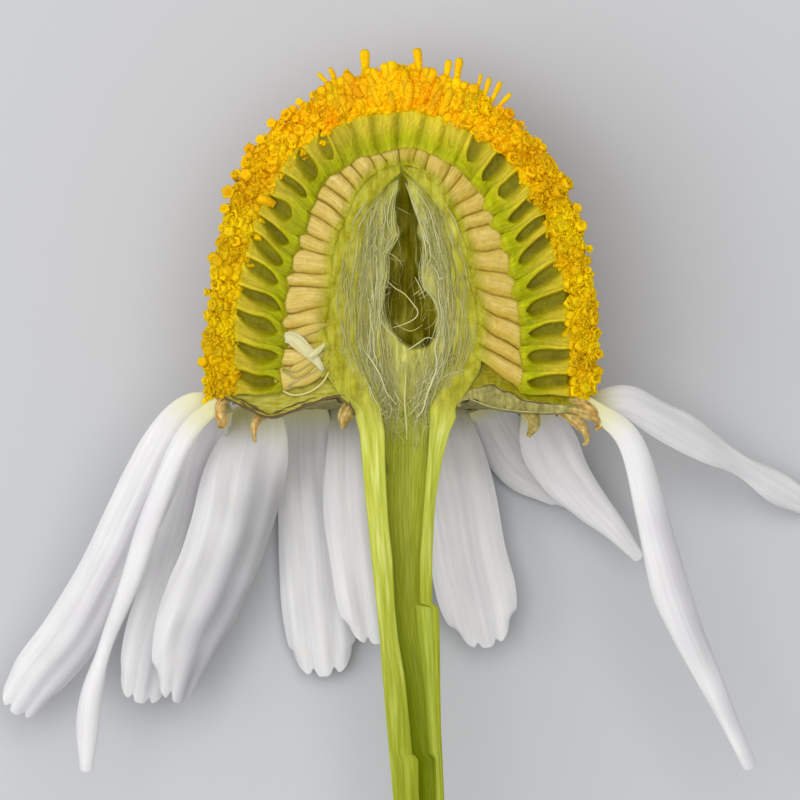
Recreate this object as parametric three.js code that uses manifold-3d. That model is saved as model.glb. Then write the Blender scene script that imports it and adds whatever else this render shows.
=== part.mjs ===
// Half of a chamomile flower head on its stalk, cut lengthways and laid down on its round back.
//
// Units are millimetres. In the part's frame +Z is up, z = 0 is the surface that the head lies on,
// +Y runs from the stalk to the tip of the head, and the origin is the middle of the flat spot that
// the head rests on. Everything is modelled in the head's own frame first: its axis is Y, y = 0 is
// the rim that the ray florets grow from, the cut face is z = 0 and the tissue is below it.
import * as THREE from 'three';
import { mergeVertices } from 'three/addons/utils/BufferGeometryUtils.js';
import Module from 'manifold-3d';

const wasm = await Module();
wasm.setup();

// ---- driving dimensions ----

const HEAD_RADIUS = 4.06; // axis to the tips of the disc florets
const HEAD_HEIGHT = 6.75; // rim to the tips of the florets at the top
const CUT_HEIGHT = 3.8; // cut face above the surface, which presses the lowest florets flat
const REST_Y = 1.4; // rim to the middle of the flat spot
const GAP = 0.04; // between neighbouring nodes

// Each layer's outer skin, from the outside in, as the radius and the height of a dome.
const FLORET_CORE = { radius: 3.78, height: 6.5 };
const TUBE_SKIN = { radius: 3.5, height: 5.65 };
const OVARY_SKIN = { radius: 2.5, height: 4.98 };
const RECEPTACLE_SKIN = { radius: 1.58, height: 4.66 };
const HOLLOW_SKIN = { radius: 1.05, height: 4.5 };

const STEM_LENGTH = 9.4; // rim to the stalk's cut end
const STEM_SWAY = 0.42; // how far the stalk leans towards +X at its cut end
const BORE_SHIFT = 0.1; // how far the stalk's hollow lies off its middle, where the cut slants
const FLANGE_RADIUS = 3.45; // the receptacle's flat underside, which carries the outer florets
const FLANGE_TOP = -0.05;

const FLORET_COUNT = 230; // disc florets on the whole head, of which half are left
const POST = { foot: 0.37, head: 0.28, sunk: 0.18, dome: 0.08, sides: 5 };
const STYLE_TIPS = [[-1.32, 6.0], [-0.76, 6.2], [0.27, 6.3], [1.05, 6.1], [1.25, 6.05], [1.85, 5.75]];
const STYLE = { radius: 0.1, length: 1.3, depth: 0.22 };
const BEAD = { count: 32, radius: 0.2, proud: 0.12 };

// A row of ovaries or tubes in the cut face: how many on each side, their half width and length, how
// deep they lie, how far the lowest ones fan down, and how thin their inner ends are.
const OVARY = { perSide: 17, half: 0.17, length: 0.9, drop: 0.1, fan: 0.5, taper: 0.45 };
const TUBE = { perSide: 13, half: 0.16, length: 0.98, drop: 0.12, fan: 0.2, taper: 0.8 };

const BRACT = { count: 11, thickness: 0.16, foot: 1.5, reach: 2.75, frontReach: 0.7, drop: 0.38 };

const PITH_SUNK = 0.08; // the torn pith lies a little below the cut
const STRAND = { radius: 0.11, length: 3.6, offset: 0.5 };

// How far each column of a petal's last row reaches, as a share of its half width there.
const NOTCHED_TIP = [-0.5, 0.05, -0.2, 0.05, -0.5];
const ROUND_TIP = [-0.3, 0.1, 0.3, 0.1, -0.3];
const PETAL_STEPS = 10;
const PETAL_EDGE = 0.45; // edge thickness as a share of the thickness in the middle
const PETAL_THICKNESS = 0.6;
const CLAW_THICKNESS = 0.26; // where a petal is tucked in under the rim

// ---- colours ----

const material = (color, roughness) => new THREE.MeshStandardMaterial({ color, roughness, metalness: 0 });
const STEM_GREEN = material(0xb4c24a, 0.5);
const PITH_GREY = material(0xb9bc94, 0.8);
const OVARY_CREAM = material(0xdccb86, 0.5);
const TUBE_GREEN = material(0x94a81c, 0.45);
const FLORET_YELLOW = material(0xf2b705, 0.6);
const BRACT_GREEN = material(0x9a9a4e, 0.6);
const PETAL_WHITE = material(0xeeedf0, 0.55);

// ---- solids ----

// A geometry as a manifold solid, moved by a matrix if one is given.
function solid(geometry, matrix) {
  const whole = geometry.index ? geometry.toNonIndexed() : geometry;
  const bare = new THREE.BufferGeometry().setAttribute('position', whole.getAttribute('position').clone());
  if (matrix) bare.applyMatrix4(matrix);
  const merged = mergeVertices(bare, 1e-4);
  return new wasm.Manifold(new wasm.Mesh({
    numProp: 3,
    vertProperties: merged.attributes.position.array,
    triVerts: new Uint32Array(merged.index.array),
  }));
}

// A solid of revolution about the head's axis from [radius, y] points that run up the outside.
const turned = (points, segments) =>
  solid(new THREE.LatheGeometry(points.map(([r, y]) => new THREE.Vector2(r, y)), segments));

const BIG = 40;
const raised = (z) => new THREE.Matrix4().makeTranslation(0, 0, z);
const block = (z) => solid(new THREE.BoxGeometry(BIG, BIG, BIG), raised(z));
const aboveCut = (drop = 0) => block(BIG / 2 - drop);
const belowSurface = block(-CUT_HEIGHT - BIG / 2);

const fused = (solids) => wasm.Manifold.union(solids);

// The largest body of a solid, without the loose scraps that a cut can leave.
const mainBody = (whole) => whole.decompose().sort((a, b) => b.volume() - a.volume())[0];

function mesh(name, whole, look) {
  const { vertProperties, triVerts } = mainBody(whole).getMesh();
  const geometry = new THREE.BufferGeometry();
  geometry.setAttribute('position', new THREE.BufferAttribute(vertProperties, 3));
  geometry.setIndex(new THREE.BufferAttribute(triVerts, 1));
  geometry.computeVertexNormals();
  const made = new THREE.Mesh(geometry, look);
  made.name = name;
  return made;
}

// A repeatable random number from 0 to 1.
function seeded(seed) {
  let state = seed;
  return () => {
    state = (state * 1664525 + 1013904223) % 4294967296;
    return state / 4294967296;
  };
}

// ---- domes ----

const POINTED = 2.6; // the exponents of a dome's outline, which make its shoulders full
const ROUND = 2.2;
const DOME_SEGMENTS = 26;
const DOME_STEPS = 8;

// The [radius, y] point of a dome at a turn from 0 at the rim to PI / 2 at the tip.
const domePoint = ({ radius, height }, turn) => [
  radius * Math.cos(turn) ** (2 / ROUND),
  height * Math.sin(turn) ** (2 / POINTED),
];

function domeOutline(skin, steps, from = 0) {
  const first = Math.asin((from / skin.height) ** (POINTED / 2));
  const points = [];
  for (let i = 0; i < steps; i++) points.push(domePoint(skin, first + (Math.PI / 2 - first) * (i / steps)));
  points.push([0, skin.height]);
  return points;
}

const grown = ({ radius, height }, by) => ({ radius: radius + by, height: height + by });

// A full dome, and a dome-shaped shell from one skin to the next, open at the rim.
const dome = (skin) => turned([[0, 0], ...domeOutline(skin, DOME_STEPS)], DOME_SEGMENTS);
const shell = (inner, outer) =>
  turned([...domeOutline(inner, DOME_STEPS).reverse(), ...domeOutline(outer, DOME_STEPS)], DOME_SEGMENTS);

// Places along a dome's outline in the cut plane, evenly spaced, each with its outward direction.
// `fan` turns the lowest ones down towards the rim by that angle.
function outlineSpots(skin, count, fan) {
  const points = domeOutline(skin, 24).map(([r, y]) => new THREE.Vector3(r, y, 0));
  const outline = new THREE.CatmullRomCurve3(points);
  const spots = [];
  for (let i = 0; i < count; i++) {
    const share = (i + 0.5) / count;
    const at = outline.getPointAt(share);
    const along = outline.getTangentAt(share);
    const lean = Math.atan2(-along.x, along.y) - fan * (1 - share) ** 3;
    for (const side of [1, -1]) {
      spots.push({
        at: new THREE.Vector3(side * at.x, at.y, 0),
        out: new THREE.Vector3(side * Math.cos(lean), Math.sin(lean), 0),
      });
    }
  }
  return spots;
}

// Places all over a dome in the spiral that a flower head grows in, each with its outward normal.
function spiralSpots(skin, count) {
  const GOLDEN_ANGLE = Math.PI * (3 - Math.sqrt(5));
  const SLICES = 400;
  const slices = [];
  let area = 0;
  for (let i = 0; i < SLICES; i++) {
    const [r0, y0] = domePoint(skin, (Math.PI / 2) * (1 - i / SLICES));
    const [r1, y1] = domePoint(skin, (Math.PI / 2) * (1 - (i + 1) / SLICES));
    area += ((r0 + r1) / 2) * Math.hypot(r1 - r0, y1 - y0);
    slices.push({ area, r: (r0 + r1) / 2, y: (y0 + y1) / 2, outward: [y0 - y1, r1 - r0] });
  }
  return Array.from({ length: count }, (_, k) => {
    const { r, y, outward } = slices.find((slice) => slice.area >= (area * (k + 0.5)) / count);
    const spin = k * GOLDEN_ANGLE;
    const turned = ([radius, height]) =>
      new THREE.Vector3(radius * Math.cos(spin), height, radius * Math.sin(spin));
    return { at: turned([r, y]), out: turned(outward).normalize() };
  });
}

// A matrix that stands a shape's Y axis along a direction, at a place.
function standing(at, out, scale = [1, 1, 1]) {
  const turn = new THREE.Quaternion().setFromUnitVectors(new THREE.Vector3(0, 1, 0), out);
  return new THREE.Matrix4().compose(at, turn, new THREE.Vector3(...scale));
}

// ---- receptacle and stalk ----

// The swollen end of the stalk: a hollow dome on a thin flange, with the stalk's open tube below.
function stemAndReceptacle() {
  const outside = [
    [0, -STEM_LENGTH], [0.54, -STEM_LENGTH], [0.62, -4.6], [0.66, -2.4], [0.74, -1.2], [0.88, -0.6],
    [1.15, FLANGE_TOP - 0.2], [2.7, FLANGE_TOP - 0.22], [FLANGE_RADIUS, FLANGE_TOP - 0.12],
    [FLANGE_RADIUS, FLANGE_TOP], [RECEPTACLE_SKIN.radius, FLANGE_TOP], ...domeOutline(RECEPTACLE_SKIN, 12),
  ];
  const inside = [
    [0, -STEM_LENGTH - 1], [0.3, -STEM_LENGTH - 1], [0.36, -4.6], [0.44, -1.2], [0.5, -0.5], [0.72, 0.0],
    ...domeOutline(HOLLOW_SKIN, 10, 0.6),
  ];
  const bore = swayed(turned(inside, 24), STEM_SWAY + BORE_SHIFT);
  return swayed(turned(outside, 36), STEM_SWAY).subtract(bore).subtract(aboveCut());
}

// Leans what is below the rim towards +X, more and more towards the stalk's cut end.
const swayed = (whole, sway) =>
  whole.warp((point) => {
    point[0] += sway * (Math.min(point[1], 0) / STEM_LENGTH) ** 2;
  });

// The loose pith that lines the hollow, torn open down the middle and drawn out into strands.
function pith() {
  const outside = turned([
    [0, -0.7], [0.4, -0.6], [0.44, -0.4], [0.66, 0.05], ...domeOutline(grown(HOLLOW_SKIN, -GAP), 10, 0.75),
  ], 24);
  const torn = turned([
    [0, 0.7], [0.3, 0.95], [0.46, 1.6], [0.46, 2.6], [0.32, 3.4], [0.14, 4.05], [0, 4.3],
  ], 16);
  const strandShape = new THREE.CylinderGeometry(STRAND.radius * 0.4, STRAND.radius, STRAND.length, 4);
  const strand = (turn) => {
    const at = new THREE.Vector3(Math.cos(turn), 0, -Math.sin(turn)).multiplyScalar(STRAND.offset).setY(2);
    return solid(strandShape, standing(at, new THREE.Vector3(0, 1, 0)));
  };
  const strands = [0.25, 0.8, 1.35, 1.9, 2.4, 2.9].map(strand);
  return fused([outside.subtract(torn), ...strands]).intersect(outside).subtract(aboveCut(PITH_SUNK));
}

// ---- disc florets, one node for each colour ----

// A row of tapered bodies side by side in the cut face, on a shell that carries them.
function row(inner, outer, { perSide, half, length, drop, fan, taper }) {
  const room = shell(inner, outer);
  const carrier = room.subtract(aboveCut(2 * drop));
  const middle = { radius: (inner.radius + outer.radius) / 2, height: (inner.height + outer.height) / 2 };
  const profile = [[0, -0.5], [taper, -0.4], [1, 0.25], [0, 0.5]];
  const shape = new THREE.LatheGeometry(profile.map(([r, y]) => new THREE.Vector2(r, y)), 4);
  const bodies = outlineSpots(middle, perSide, fan).map(({ at, out }) =>
    solid(shape, standing(at.setZ(-drop), out, [half, length, half])));
  return fused([carrier, ...bodies]).intersect(room).subtract(aboveCut());
}

const ovaries = () => row(grown(RECEPTACLE_SKIN, GAP), grown(OVARY_SKIN, -GAP), OVARY);
const corollaTubes = () => row(OVARY_SKIN, grown(TUBE_SKIN, -GAP), TUBE);

// The yellow tops of the florets: posts in a spiral all over the head, beads where the cut face
// shows florets from the side, and a few long styles at the top.
function floretTops() {
  const random = seeded(7);
  const core = shell(TUBE_SKIN, FLORET_CORE);
  const flush = fused([core, ...floretPosts(random), ...styles()]).subtract(aboveCut(0.03));
  const beads = fused(cutBeads(random)).subtract(aboveCut(-BEAD.proud));
  return flush.add(beads).subtract(dome(TUBE_SKIN)).subtract(belowSurface);
}

function floretPosts(random) {
  const tips = { radius: HEAD_RADIUS, height: HEAD_HEIGHT };
  return spiralSpots(tips, FLORET_COUNT)
    .filter(({ at }) => at.z < POST.foot)
    .map(({ at, out }) => {
      const length = HEAD_RADIUS - FLORET_CORE.radius + POST.sunk + 0.06 * (random() - 0.5);
      const foot = at.clone().addScaledVector(out, -length);
      foot.y = Math.max(foot.y, POST.foot * 0.8);
      const profile = [[0, 0], [POST.foot, 0], [POST.head, length - POST.dome], [0, length]];
      const shape = new THREE.LatheGeometry(profile.map(([r, y]) => new THREE.Vector2(r, y)), POST.sides);
      return solid(shape, standing(foot, out));
    });
}

function cutBeads(random) {
  return Array.from({ length: BEAD.count }, () => {
    const turn = 0.08 + 1.4 * random();
    const depth = 0.25 + 0.5 * random();
    const [r0, y0] = domePoint(TUBE_SKIN, turn);
    const [r1, y1] = domePoint(FLORET_CORE, turn);
    const side = random() < 0.5 ? -1 : 1;
    const y = Math.max(y0 + (y1 - y0) * depth, BEAD.radius);
    const at = new THREE.Vector3(side * (r0 + (r1 - r0) * depth), y, -BEAD.proud / 2);
    const size = BEAD.radius * (0.7 + 0.5 * random());
    return solid(new THREE.IcosahedronGeometry(size), new THREE.Matrix4().setPosition(at));
  });
}

function styles() {
  const shape = new THREE.CylinderGeometry(STYLE.radius * 0.9, STYLE.radius, STYLE.length, 6);
  return STYLE_TIPS.map(([x, y]) => {
    const out = new THREE.Vector3(x / 4, 1, 0).normalize();
    return solid(shape, standing(new THREE.Vector3(x, y, -STYLE.depth), out));
  });
}

// ---- involucre ----

// The ring of small bracts pressed to the flange's underside, with tips that bend down towards the
// stalk. Those beside the cut face are the longest.
function involucre() {
  const random = seeded(23);
  const bracts = Array.from({ length: BRACT.count }, (_, i) => bract(i, 0.22 + 0.25 * random()));
  const top = FLANGE_TOP - BRACT.drop + 0.013;
  const dish = turned([
    [1.0, top - 0.12], [1.35, top - 0.06], [2.3, top - 0.055], [2.3, top], [1.2, top], [1.0, top - 0.12],
  ], 24);
  return fused([dish, ...bracts]).subtract(aboveCut());
}

function bract(i, hang) {
  const spin = Math.PI * ((i + 0.5) / BRACT.count);
  const reach = BRACT.reach + BRACT.frontReach * Math.abs(Math.cos(spin)) ** 12;
  const low = FLANGE_TOP - BRACT.drop - 0.05 * (i % 2);
  const radial = new THREE.Vector3(Math.cos(spin), 0, -Math.sin(spin));
  const point = (r, y) => radial.clone().multiplyScalar(r).setY(y);
  return blade({
    spine: [point(BRACT.foot, low), point(2.1, low), point(reach - 0.3, low), point(reach, low - hang)],
    face: [new THREE.Vector3(0, 1, 0), radial],
    widths: [0.7, 0.9, 0.85, 0.3],
    thickness: BRACT.thickness,
    claw: BRACT.thickness,
    cup: 0,
    tip: [0, 0.3, 0],
    steps: 4,
  });
}

// ---- ray florets ----

// A closed blade along a spine of points: lens-shaped across, with its own face direction, width and
// cup, and an end cut into teeth. Both faces are split into triangles alike.
function blade({ spine, face, widths, thickness, claw, cup, tip, steps = PETAL_STEPS }) {
  const curve = new THREE.CatmullRomCurve3(spine);
  const columns = tip.length;
  const positions = [];
  for (const side of [1, -1]) {
    for (let i = 0; i <= steps; i++) {
      const share = i / steps;
      const centre = curve.getPointAt(share);
      const along = curve.getTangentAt(share);
      const up = between(face, share, (a, b, t) => a.clone().lerp(b, t)).projectOnPlane(along).normalize();
      const across = up.clone().cross(along);
      const half = between(widths, share, (a, b, t) => a + (b - a) * t) / 2;
      const thick = claw + (thickness - claw) * THREE.MathUtils.smoothstep(share, 0, 0.25);
      tip.forEach((tooth, k) => {
        const c = (2 * k) / (columns - 1) - 1;
        const lift = cup * half * (1 - c * c) + (side * thick * (1 - (1 - PETAL_EDGE) * c * c)) / 2;
        const reach = i === steps ? tooth * half : 0;
        const at = centre.clone().addScaledVector(across, c * half).addScaledVector(up, lift);
        positions.push(...at.addScaledVector(along, reach).toArray());
      });
    }
  }
  const index = [];
  const under = (steps + 1) * columns;
  const quad = (a, b, c, d) => index.push(a, b, c, a, c, d);
  for (let i = 0; i < steps; i++) {
    for (let k = 0; k < columns - 1; k++) {
      const a = i * columns + k;
      quad(a, a + columns, a + columns + 1, a + 1);
      index.push(under + a, under + a + columns + 1, under + a + columns);
      index.push(under + a, under + a + 1, under + a + columns + 1);
    }
    const left = i * columns;
    const right = left + columns - 1;
    quad(left, under + left, under + left + columns, left + columns);
    quad(right, right + columns, under + right + columns, under + right);
  }
  for (let k = 0; k < columns - 1; k++) {
    const end = steps * columns + k;
    quad(k, k + 1, under + k + 1, under + k);
    quad(end, under + end, under + end + 1, end + 1);
  }
  const geometry = new THREE.BufferGeometry();
  geometry.setAttribute('position', new THREE.Float32BufferAttribute(positions, 3));
  geometry.setIndex(index);
  return solid(geometry);
}

// The value of an evenly spaced list at a share of its length.
function between(list, share, mix) {
  const at = share * (list.length - 1);
  const first = Math.min(Math.floor(at), list.length - 2);
  return mix(list[first], list[first + 1], at - first);
}

// The ray florets from left to right, each with its route from the rim, the directions that its face
// turns to and its widths, all evenly spaced from claw to tip. The slender ones are rolled up.
const RAYS = [
  {
    spine: [
      [-3.68, -0.2, -0.6], [-4.25, -0.4, -0.68], [-4.78, -1.16, -0.75], [-5.41, -2.39, -1.0],
      [-6.02, -3.6, -1.4], [-6.73, -4.86, -1.95], [-7.38, -5.75, -2.35], [-7.72, -6.38, -2.6],
    ],
    face: [[0, 0, 1], [0.2, 0, 1], [0.3, 0, 1]],
    widths: [0.35, 1.0, 1.15, 1.15, 1.15, 1.15, 1.1, 0.75],
  },
  {
    spine: [
      [-3.72, -0.15, -0.14], [-4.39, -0.85, 0.0], [-5.06, -2.43, 0.05], [-5.49, -3.75, -0.1],
      [-5.89, -5.06, -0.35], [-6.24, -6.28, -0.6], [-6.4, -7.5, -0.85],
    ],
    face: [[0, 0, 1]],
    widths: [0.3, 0.46, 0.5, 0.42, 0.4, 0.36, 0.3, 0.24, 0.34, 0.26],
    slender: true,
  },
  {
    spine: [
      [-3.62, -0.18, -1.05], [-3.88, -0.85, -2.3], [-4.12, -1.72, -2.6], [-4.47, -3.04, -2.75],
      [-4.79, -4.15, -2.85], [-5.04, -4.96, -2.95], [-5.24, -6.14, -3.1],
    ],
    face: [[-0.5, 0, 0.8], [0, 0, 1]],
    widths: [0.32, 0.7, 1.1, 1.25, 1.25, 1.2, 0.7],
  },
  {
    spine: [
      [-3.1, -0.18, -2.0], [-2.96, -0.75, -1.8], [-3.18, -1.72, -1.74], [-3.48, -2.94, -1.72],
      [-3.95, -4.15, -1.78], [-4.33, -4.96, -1.86], [-4.64, -6.1, -2.05],
    ],
    face: [[-0.3, 0, 1], [0, 0, 1], [0.1, 0, 1]],
    widths: [0.36, 1.25, 1.5, 1.62, 1.6, 1.35, 0.7],
  },
  {
    spine: [
      [-1.96, -0.18, -3.05], [-1.94, -0.71, -3.38], [-1.9, -1.72, -3.44], [-1.8, -2.94, -3.44],
      [-1.73, -4.15, -3.44], [-1.6, -5.66, -3.4],
    ],
    face: [[0, 0, 1]],
    widths: [0.42, 1.25, 1.38, 1.42, 1.4, 0.7],
  },
  {
    spine: [
      [-1.03, -0.18, -3.56], [-0.93, -0.8, -3.02], [-0.91, -1.72, -2.82], [-0.81, -2.94, -2.8],
      [-0.63, -4.15, -2.78], [-0.53, -5.0, -2.75],
    ],
    face: [[0, 0, 1], [0.15, 0, 1]],
    widths: [0.42, 1.2, 1.4, 1.42, 1.35, 0.8],
  },
  {
    spine: [
      [0.78, -0.18, -3.58], [0.91, -0.85, -3.15], [1.15, -2.13, -3.05], [1.36, -3.34, -3.05],
      [1.56, -4.2, -3.05], [1.76, -5.06, -3.05],
    ],
    face: [[0, 0, 1], [-0.1, 0, 1]],
    widths: [0.42, 1.3, 1.5, 1.56, 1.5, 0.75],
  },
  {
    spine: [
      [1.72, -0.18, -3.18], [2.0, -0.75, -3.46], [2.4, -1.35, -3.46], [2.95, -1.72, -3.46],
      [3.55, -2.15, -3.46],
    ],
    face: [[0, 0, 1]],
    widths: [0.42, 0.95, 1.1, 0.9, 0.5],
  },
  {
    spine: [
      [2.69, -0.18, -2.4], [2.92, -0.85, -2.55], [3.3, -1.6, -2.68], [3.81, -2.27, -2.78],
      [4.25, -2.73, -2.85], [4.74, -3.27, -2.95],
    ],
    face: [[0.3, 0, 1], [0, 0, 1], [-0.3, 0, 1]],
    widths: [0.42, 1.2, 1.2, 0.85, 0.55, 0.3],
  },
  {
    spine: [
      [3.72, -0.17, -0.14], [4.6, -0.91, -0.1], [5.12, -2.53, -0.12], [5.55, -4.15, -0.3],
      [6.24, -5.77, -0.62], [7.04, -7.5, -1.1],
    ],
    face: [[0, 0, 1], [0.3, 0, 1], [0, 0, 1]],
    widths: [0.32, 0.5, 0.58, 0.68, 0.8, 0.66, 0.5, 0.36, 0.3],
    slender: true,
  },
  {
    spine: [
      [3.7, -0.24, -0.66], [4.47, -0.12, -0.8], [5.24, -0.42, -1.15], [6.05, -0.84, -1.7],
      [6.86, -1.3, -2.3], [7.65, -1.84, -2.9], [8.36, -2.3, -3.36],
    ],
    face: [[0.2, 0.5, 1], [0.3, 0.7, 1], [-0.1, 0.1, 1]],
    widths: [0.35, 0.7, 0.9, 0.9, 0.8, 0.8, 0.5],
  },
];

function rayFloret({ spine, face, widths, slender }, i) {
  const vectors = (list) => list.map(([x, y, z]) => new THREE.Vector3(x, y, z));
  const made = blade({
    spine: vectors(spine),
    face: vectors([...face, face.at(-1)]),
    widths,
    thickness: PETAL_THICKNESS,
    claw: CLAW_THICKNESS,
    cup: slender ? 0 : 0.06,
    tip: slender ? ROUND_TIP : NOTCHED_TIP,
  });
  return mesh(`ray_floret_${String(i + 1).padStart(2, '0')}`, made, PETAL_WHITE);
}

// ---- the whole ----

const head = new THREE.Group();
head.add(
  mesh('stem_and_receptacle', stemAndReceptacle(), STEM_GREEN),
  mesh('pith', pith(), PITH_GREY),
  mesh('ovaries', ovaries(), OVARY_CREAM),
  mesh('corolla_tubes', corollaTubes(), TUBE_GREEN),
  mesh('floret_tops', floretTops(), FLORET_YELLOW),
  mesh('involucre', involucre(), BRACT_GREEN),
  ...RAYS.map(rayFloret),
);
head.position.set(0, -REST_Y, CUT_HEIGHT);

const chamomile = new THREE.Group();
chamomile.add(head);

export default chamomile;
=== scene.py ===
"""Half of a chamomile flower head, cut lengthways through its stalk and laid down cut face up.

Shapes are worked out in the head's own frame, in millimetres: x to the right, y up the head's axis
from the rim (0) to the tip, z out of the cut face (0). Heap.piece() turns them into metres in the
row's frame. Every point also carries two things that its material reads: `grain`, its place in
millimetres along, across and per body, for streaks that follow the tissue, and `tone`, four numbers
from 0 to 1 that say what kind of tissue it is and, in places, where painted light and shade fall.
"""

import math

import bpy
import bmesh
import numpy as np
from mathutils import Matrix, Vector


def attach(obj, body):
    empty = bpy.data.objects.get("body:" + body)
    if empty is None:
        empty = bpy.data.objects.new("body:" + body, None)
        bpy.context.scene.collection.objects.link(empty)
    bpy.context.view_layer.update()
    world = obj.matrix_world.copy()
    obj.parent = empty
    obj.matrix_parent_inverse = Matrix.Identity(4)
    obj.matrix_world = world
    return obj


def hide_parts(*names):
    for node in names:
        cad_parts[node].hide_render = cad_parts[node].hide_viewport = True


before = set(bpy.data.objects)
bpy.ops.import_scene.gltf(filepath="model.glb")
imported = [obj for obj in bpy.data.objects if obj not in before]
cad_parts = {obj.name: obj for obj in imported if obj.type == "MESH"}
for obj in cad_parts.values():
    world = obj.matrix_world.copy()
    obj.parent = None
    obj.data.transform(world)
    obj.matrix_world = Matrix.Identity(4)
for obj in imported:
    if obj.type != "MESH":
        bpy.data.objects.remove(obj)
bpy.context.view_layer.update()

MM = 0.001
REST_Y = 1.4  # from the rim to the spot that the head rests on, along the axis
CUT_HEIGHT = 3.8  # of the cut face above the surface
HEAD_LEAN = 0.07  # of the tip of the head to the left
HALF_TURN = math.pi / 2
GOLDEN_ANGLE = math.pi * (3 - math.sqrt(5))


# ---- curves ----


def unit(vectors):
    return vectors / np.maximum(np.linalg.norm(vectors, axis=-1, keepdims=True), 1e-12)


def mixed(values, share):
    """A smooth course through evenly spaced values, read at shares of its length from 0 to 1."""
    values = np.asarray(values, float)
    share = np.clip(np.asarray(share, float), 0, 1)
    first, last = 2 * values[:1] - values[1:2], 2 * values[-1:] - values[-2:-1]
    padded = np.concatenate([first, values, last])
    at = share * (len(values) - 1)
    i = np.minimum(at.astype(int), len(values) - 2)
    t = (at - i).reshape(share.shape + (1,) * (values.ndim - 1))
    a, b, c, d = (padded[i + k] for k in range(4))
    return b + 0.5 * t * (c - a + t * (2 * a - 5 * b + 4 * c - d + t * (3 * b - a - 3 * c + d)))


def spline(points, count):
    """That many points, evenly spaced along a smooth curve through the given ones."""
    fine = mixed(points, np.linspace(0, 1, 40 * len(points)))
    steps = np.linalg.norm(np.diff(fine, axis=0), axis=1)
    length = np.concatenate([[0], np.cumsum(steps)])
    at = np.linspace(0, length[-1], count)
    return np.stack([np.interp(at, length, column) for column in fine.T], axis=1)


def smooth_step(values, low, high):
    t = np.clip((values - low) / (high - low), 0, 1)
    return t * t * (3 - 2 * t)


def tapered(count):
    """A thread's thickness along it, thin at both ends."""
    return np.sin(np.linspace(0.3, 2.84, count))


def wave(rng, least, most, count):
    """A sine of a random length from a random start."""
    return np.sin(np.linspace(0, rng.uniform(least, most), count) + rng.uniform(0, 6))


def ripple(points, size, seed, waves=14):
    """Smooth bumps of about that size in mm, roughly from -1 to 1."""
    rng = np.random.default_rng(seed)
    total = np.zeros(points.shape[:-1])
    for _ in range(waves):
        way = unit(rng.normal(size=3)) * rng.uniform(0.6, 1.6) * 2 * math.pi / size
        total += np.sin(points @ way + rng.uniform(0, 2 * math.pi))
    return total / math.sqrt(waves)


# ---- building meshes ----


def grid_faces(rows, columns, wrap=False):
    """The four-sided faces of a grid of points, listed row by row."""
    columns_used = np.arange(columns if wrap else columns - 1)
    a = np.arange(rows - 1)[:, None] * columns + columns_used
    b = np.arange(rows - 1)[:, None] * columns + (columns_used + 1) % columns
    return np.stack([a, b, b + columns, a + columns], axis=-1).reshape(-1, 4)


def cap_faces(ring):
    """The triangles that close a ring of points."""
    ring = np.asarray(ring)
    return np.stack([np.full(len(ring) - 2, ring[0]), ring[1:-1], ring[2:]], axis=1)


def rim_of(rows, columns):
    index = np.arange(rows * columns).reshape(rows, columns)
    sides = [index[0, :-1], index[:-1, -1], index[-1, :0:-1], index[:0:-1, 0]]
    return np.concatenate(sides)


class Shape:
    """Points with their faces, grain and tone."""

    def __init__(self, points, quads, triangles=(), grain=None, tone=0.0):
        self.points = np.asarray(points, float).reshape(-1, 3)
        self.quads = np.asarray(quads, int).reshape(-1, 4)
        self.triangles = np.asarray(triangles, int).reshape(-1, 3)
        self.grain = self.points if grain is None else np.asarray(grain, float).reshape(-1, 3)
        self.tone = np.broadcast_to(np.asarray(tone, float), (len(self.points), 4))


def two_sided(top, bottom, grain=None, tone=0.0):
    """A closed body between two grids of points of the same size, sewn together at their rims."""
    rows, columns = top.shape[:2]
    count = rows * columns
    faces = grid_faces(rows, columns)
    rim = rim_of(rows, columns)
    after = np.roll(rim, -1)
    sides = np.stack([rim, rim + count, after + count, after], axis=1)
    points = np.concatenate([top.reshape(-1, 3), bottom.reshape(-1, 3)])
    if grain is None:
        grain = top
    grain = np.concatenate([grain.reshape(-1, 3)] * 2)
    if np.ndim(tone) > 1:
        tone = np.concatenate([tone.reshape(-1, 4)] * 2)
    return Shape(points, np.concatenate([faces, faces[:, ::-1] + count, sides]), (), grain, tone)


def slab(top, level, grain, tone):
    """A closed body under a grid of points, down to a flat floor at that level."""
    rows, columns = top.shape[:2]
    index = np.arange(rows * columns).reshape(rows, columns)
    near = index.size + np.arange(columns)
    far = near + columns
    floor = np.concatenate([top[0], top[-1]])
    floor[:, 2] = level
    pairs = ((index[0], near), (near, far), (far, index[-1]))
    sides = [np.stack([a[:-1], a[1:], b[1:], b[:-1]], axis=1) for a, b in pairs]
    ends = [cap_faces([near[c], *index[:, c], far[c]]) for c in (0, -1)]
    points = np.concatenate([top.reshape(-1, 3), floor])
    grain, tone = (np.concatenate([v.reshape(-1, v.shape[-1]), v[0], v[-1]]) for v in (grain, tone))
    quads = np.concatenate([grid_faces(rows, columns), *sides])
    return Shape(points, quads, np.concatenate(ends), grain, tone)


def sheet(middle, thickness, grain=None, tone=0.0):
    """A closed sheet round a grid of middle points, as thick at each point as given."""
    normal = unit(np.cross(np.gradient(middle, axis=0), np.gradient(middle, axis=1)))
    lift = normal * np.asarray(thickness)[..., None] / 2
    return two_sided(middle + lift, middle - lift, grain, tone)


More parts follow.
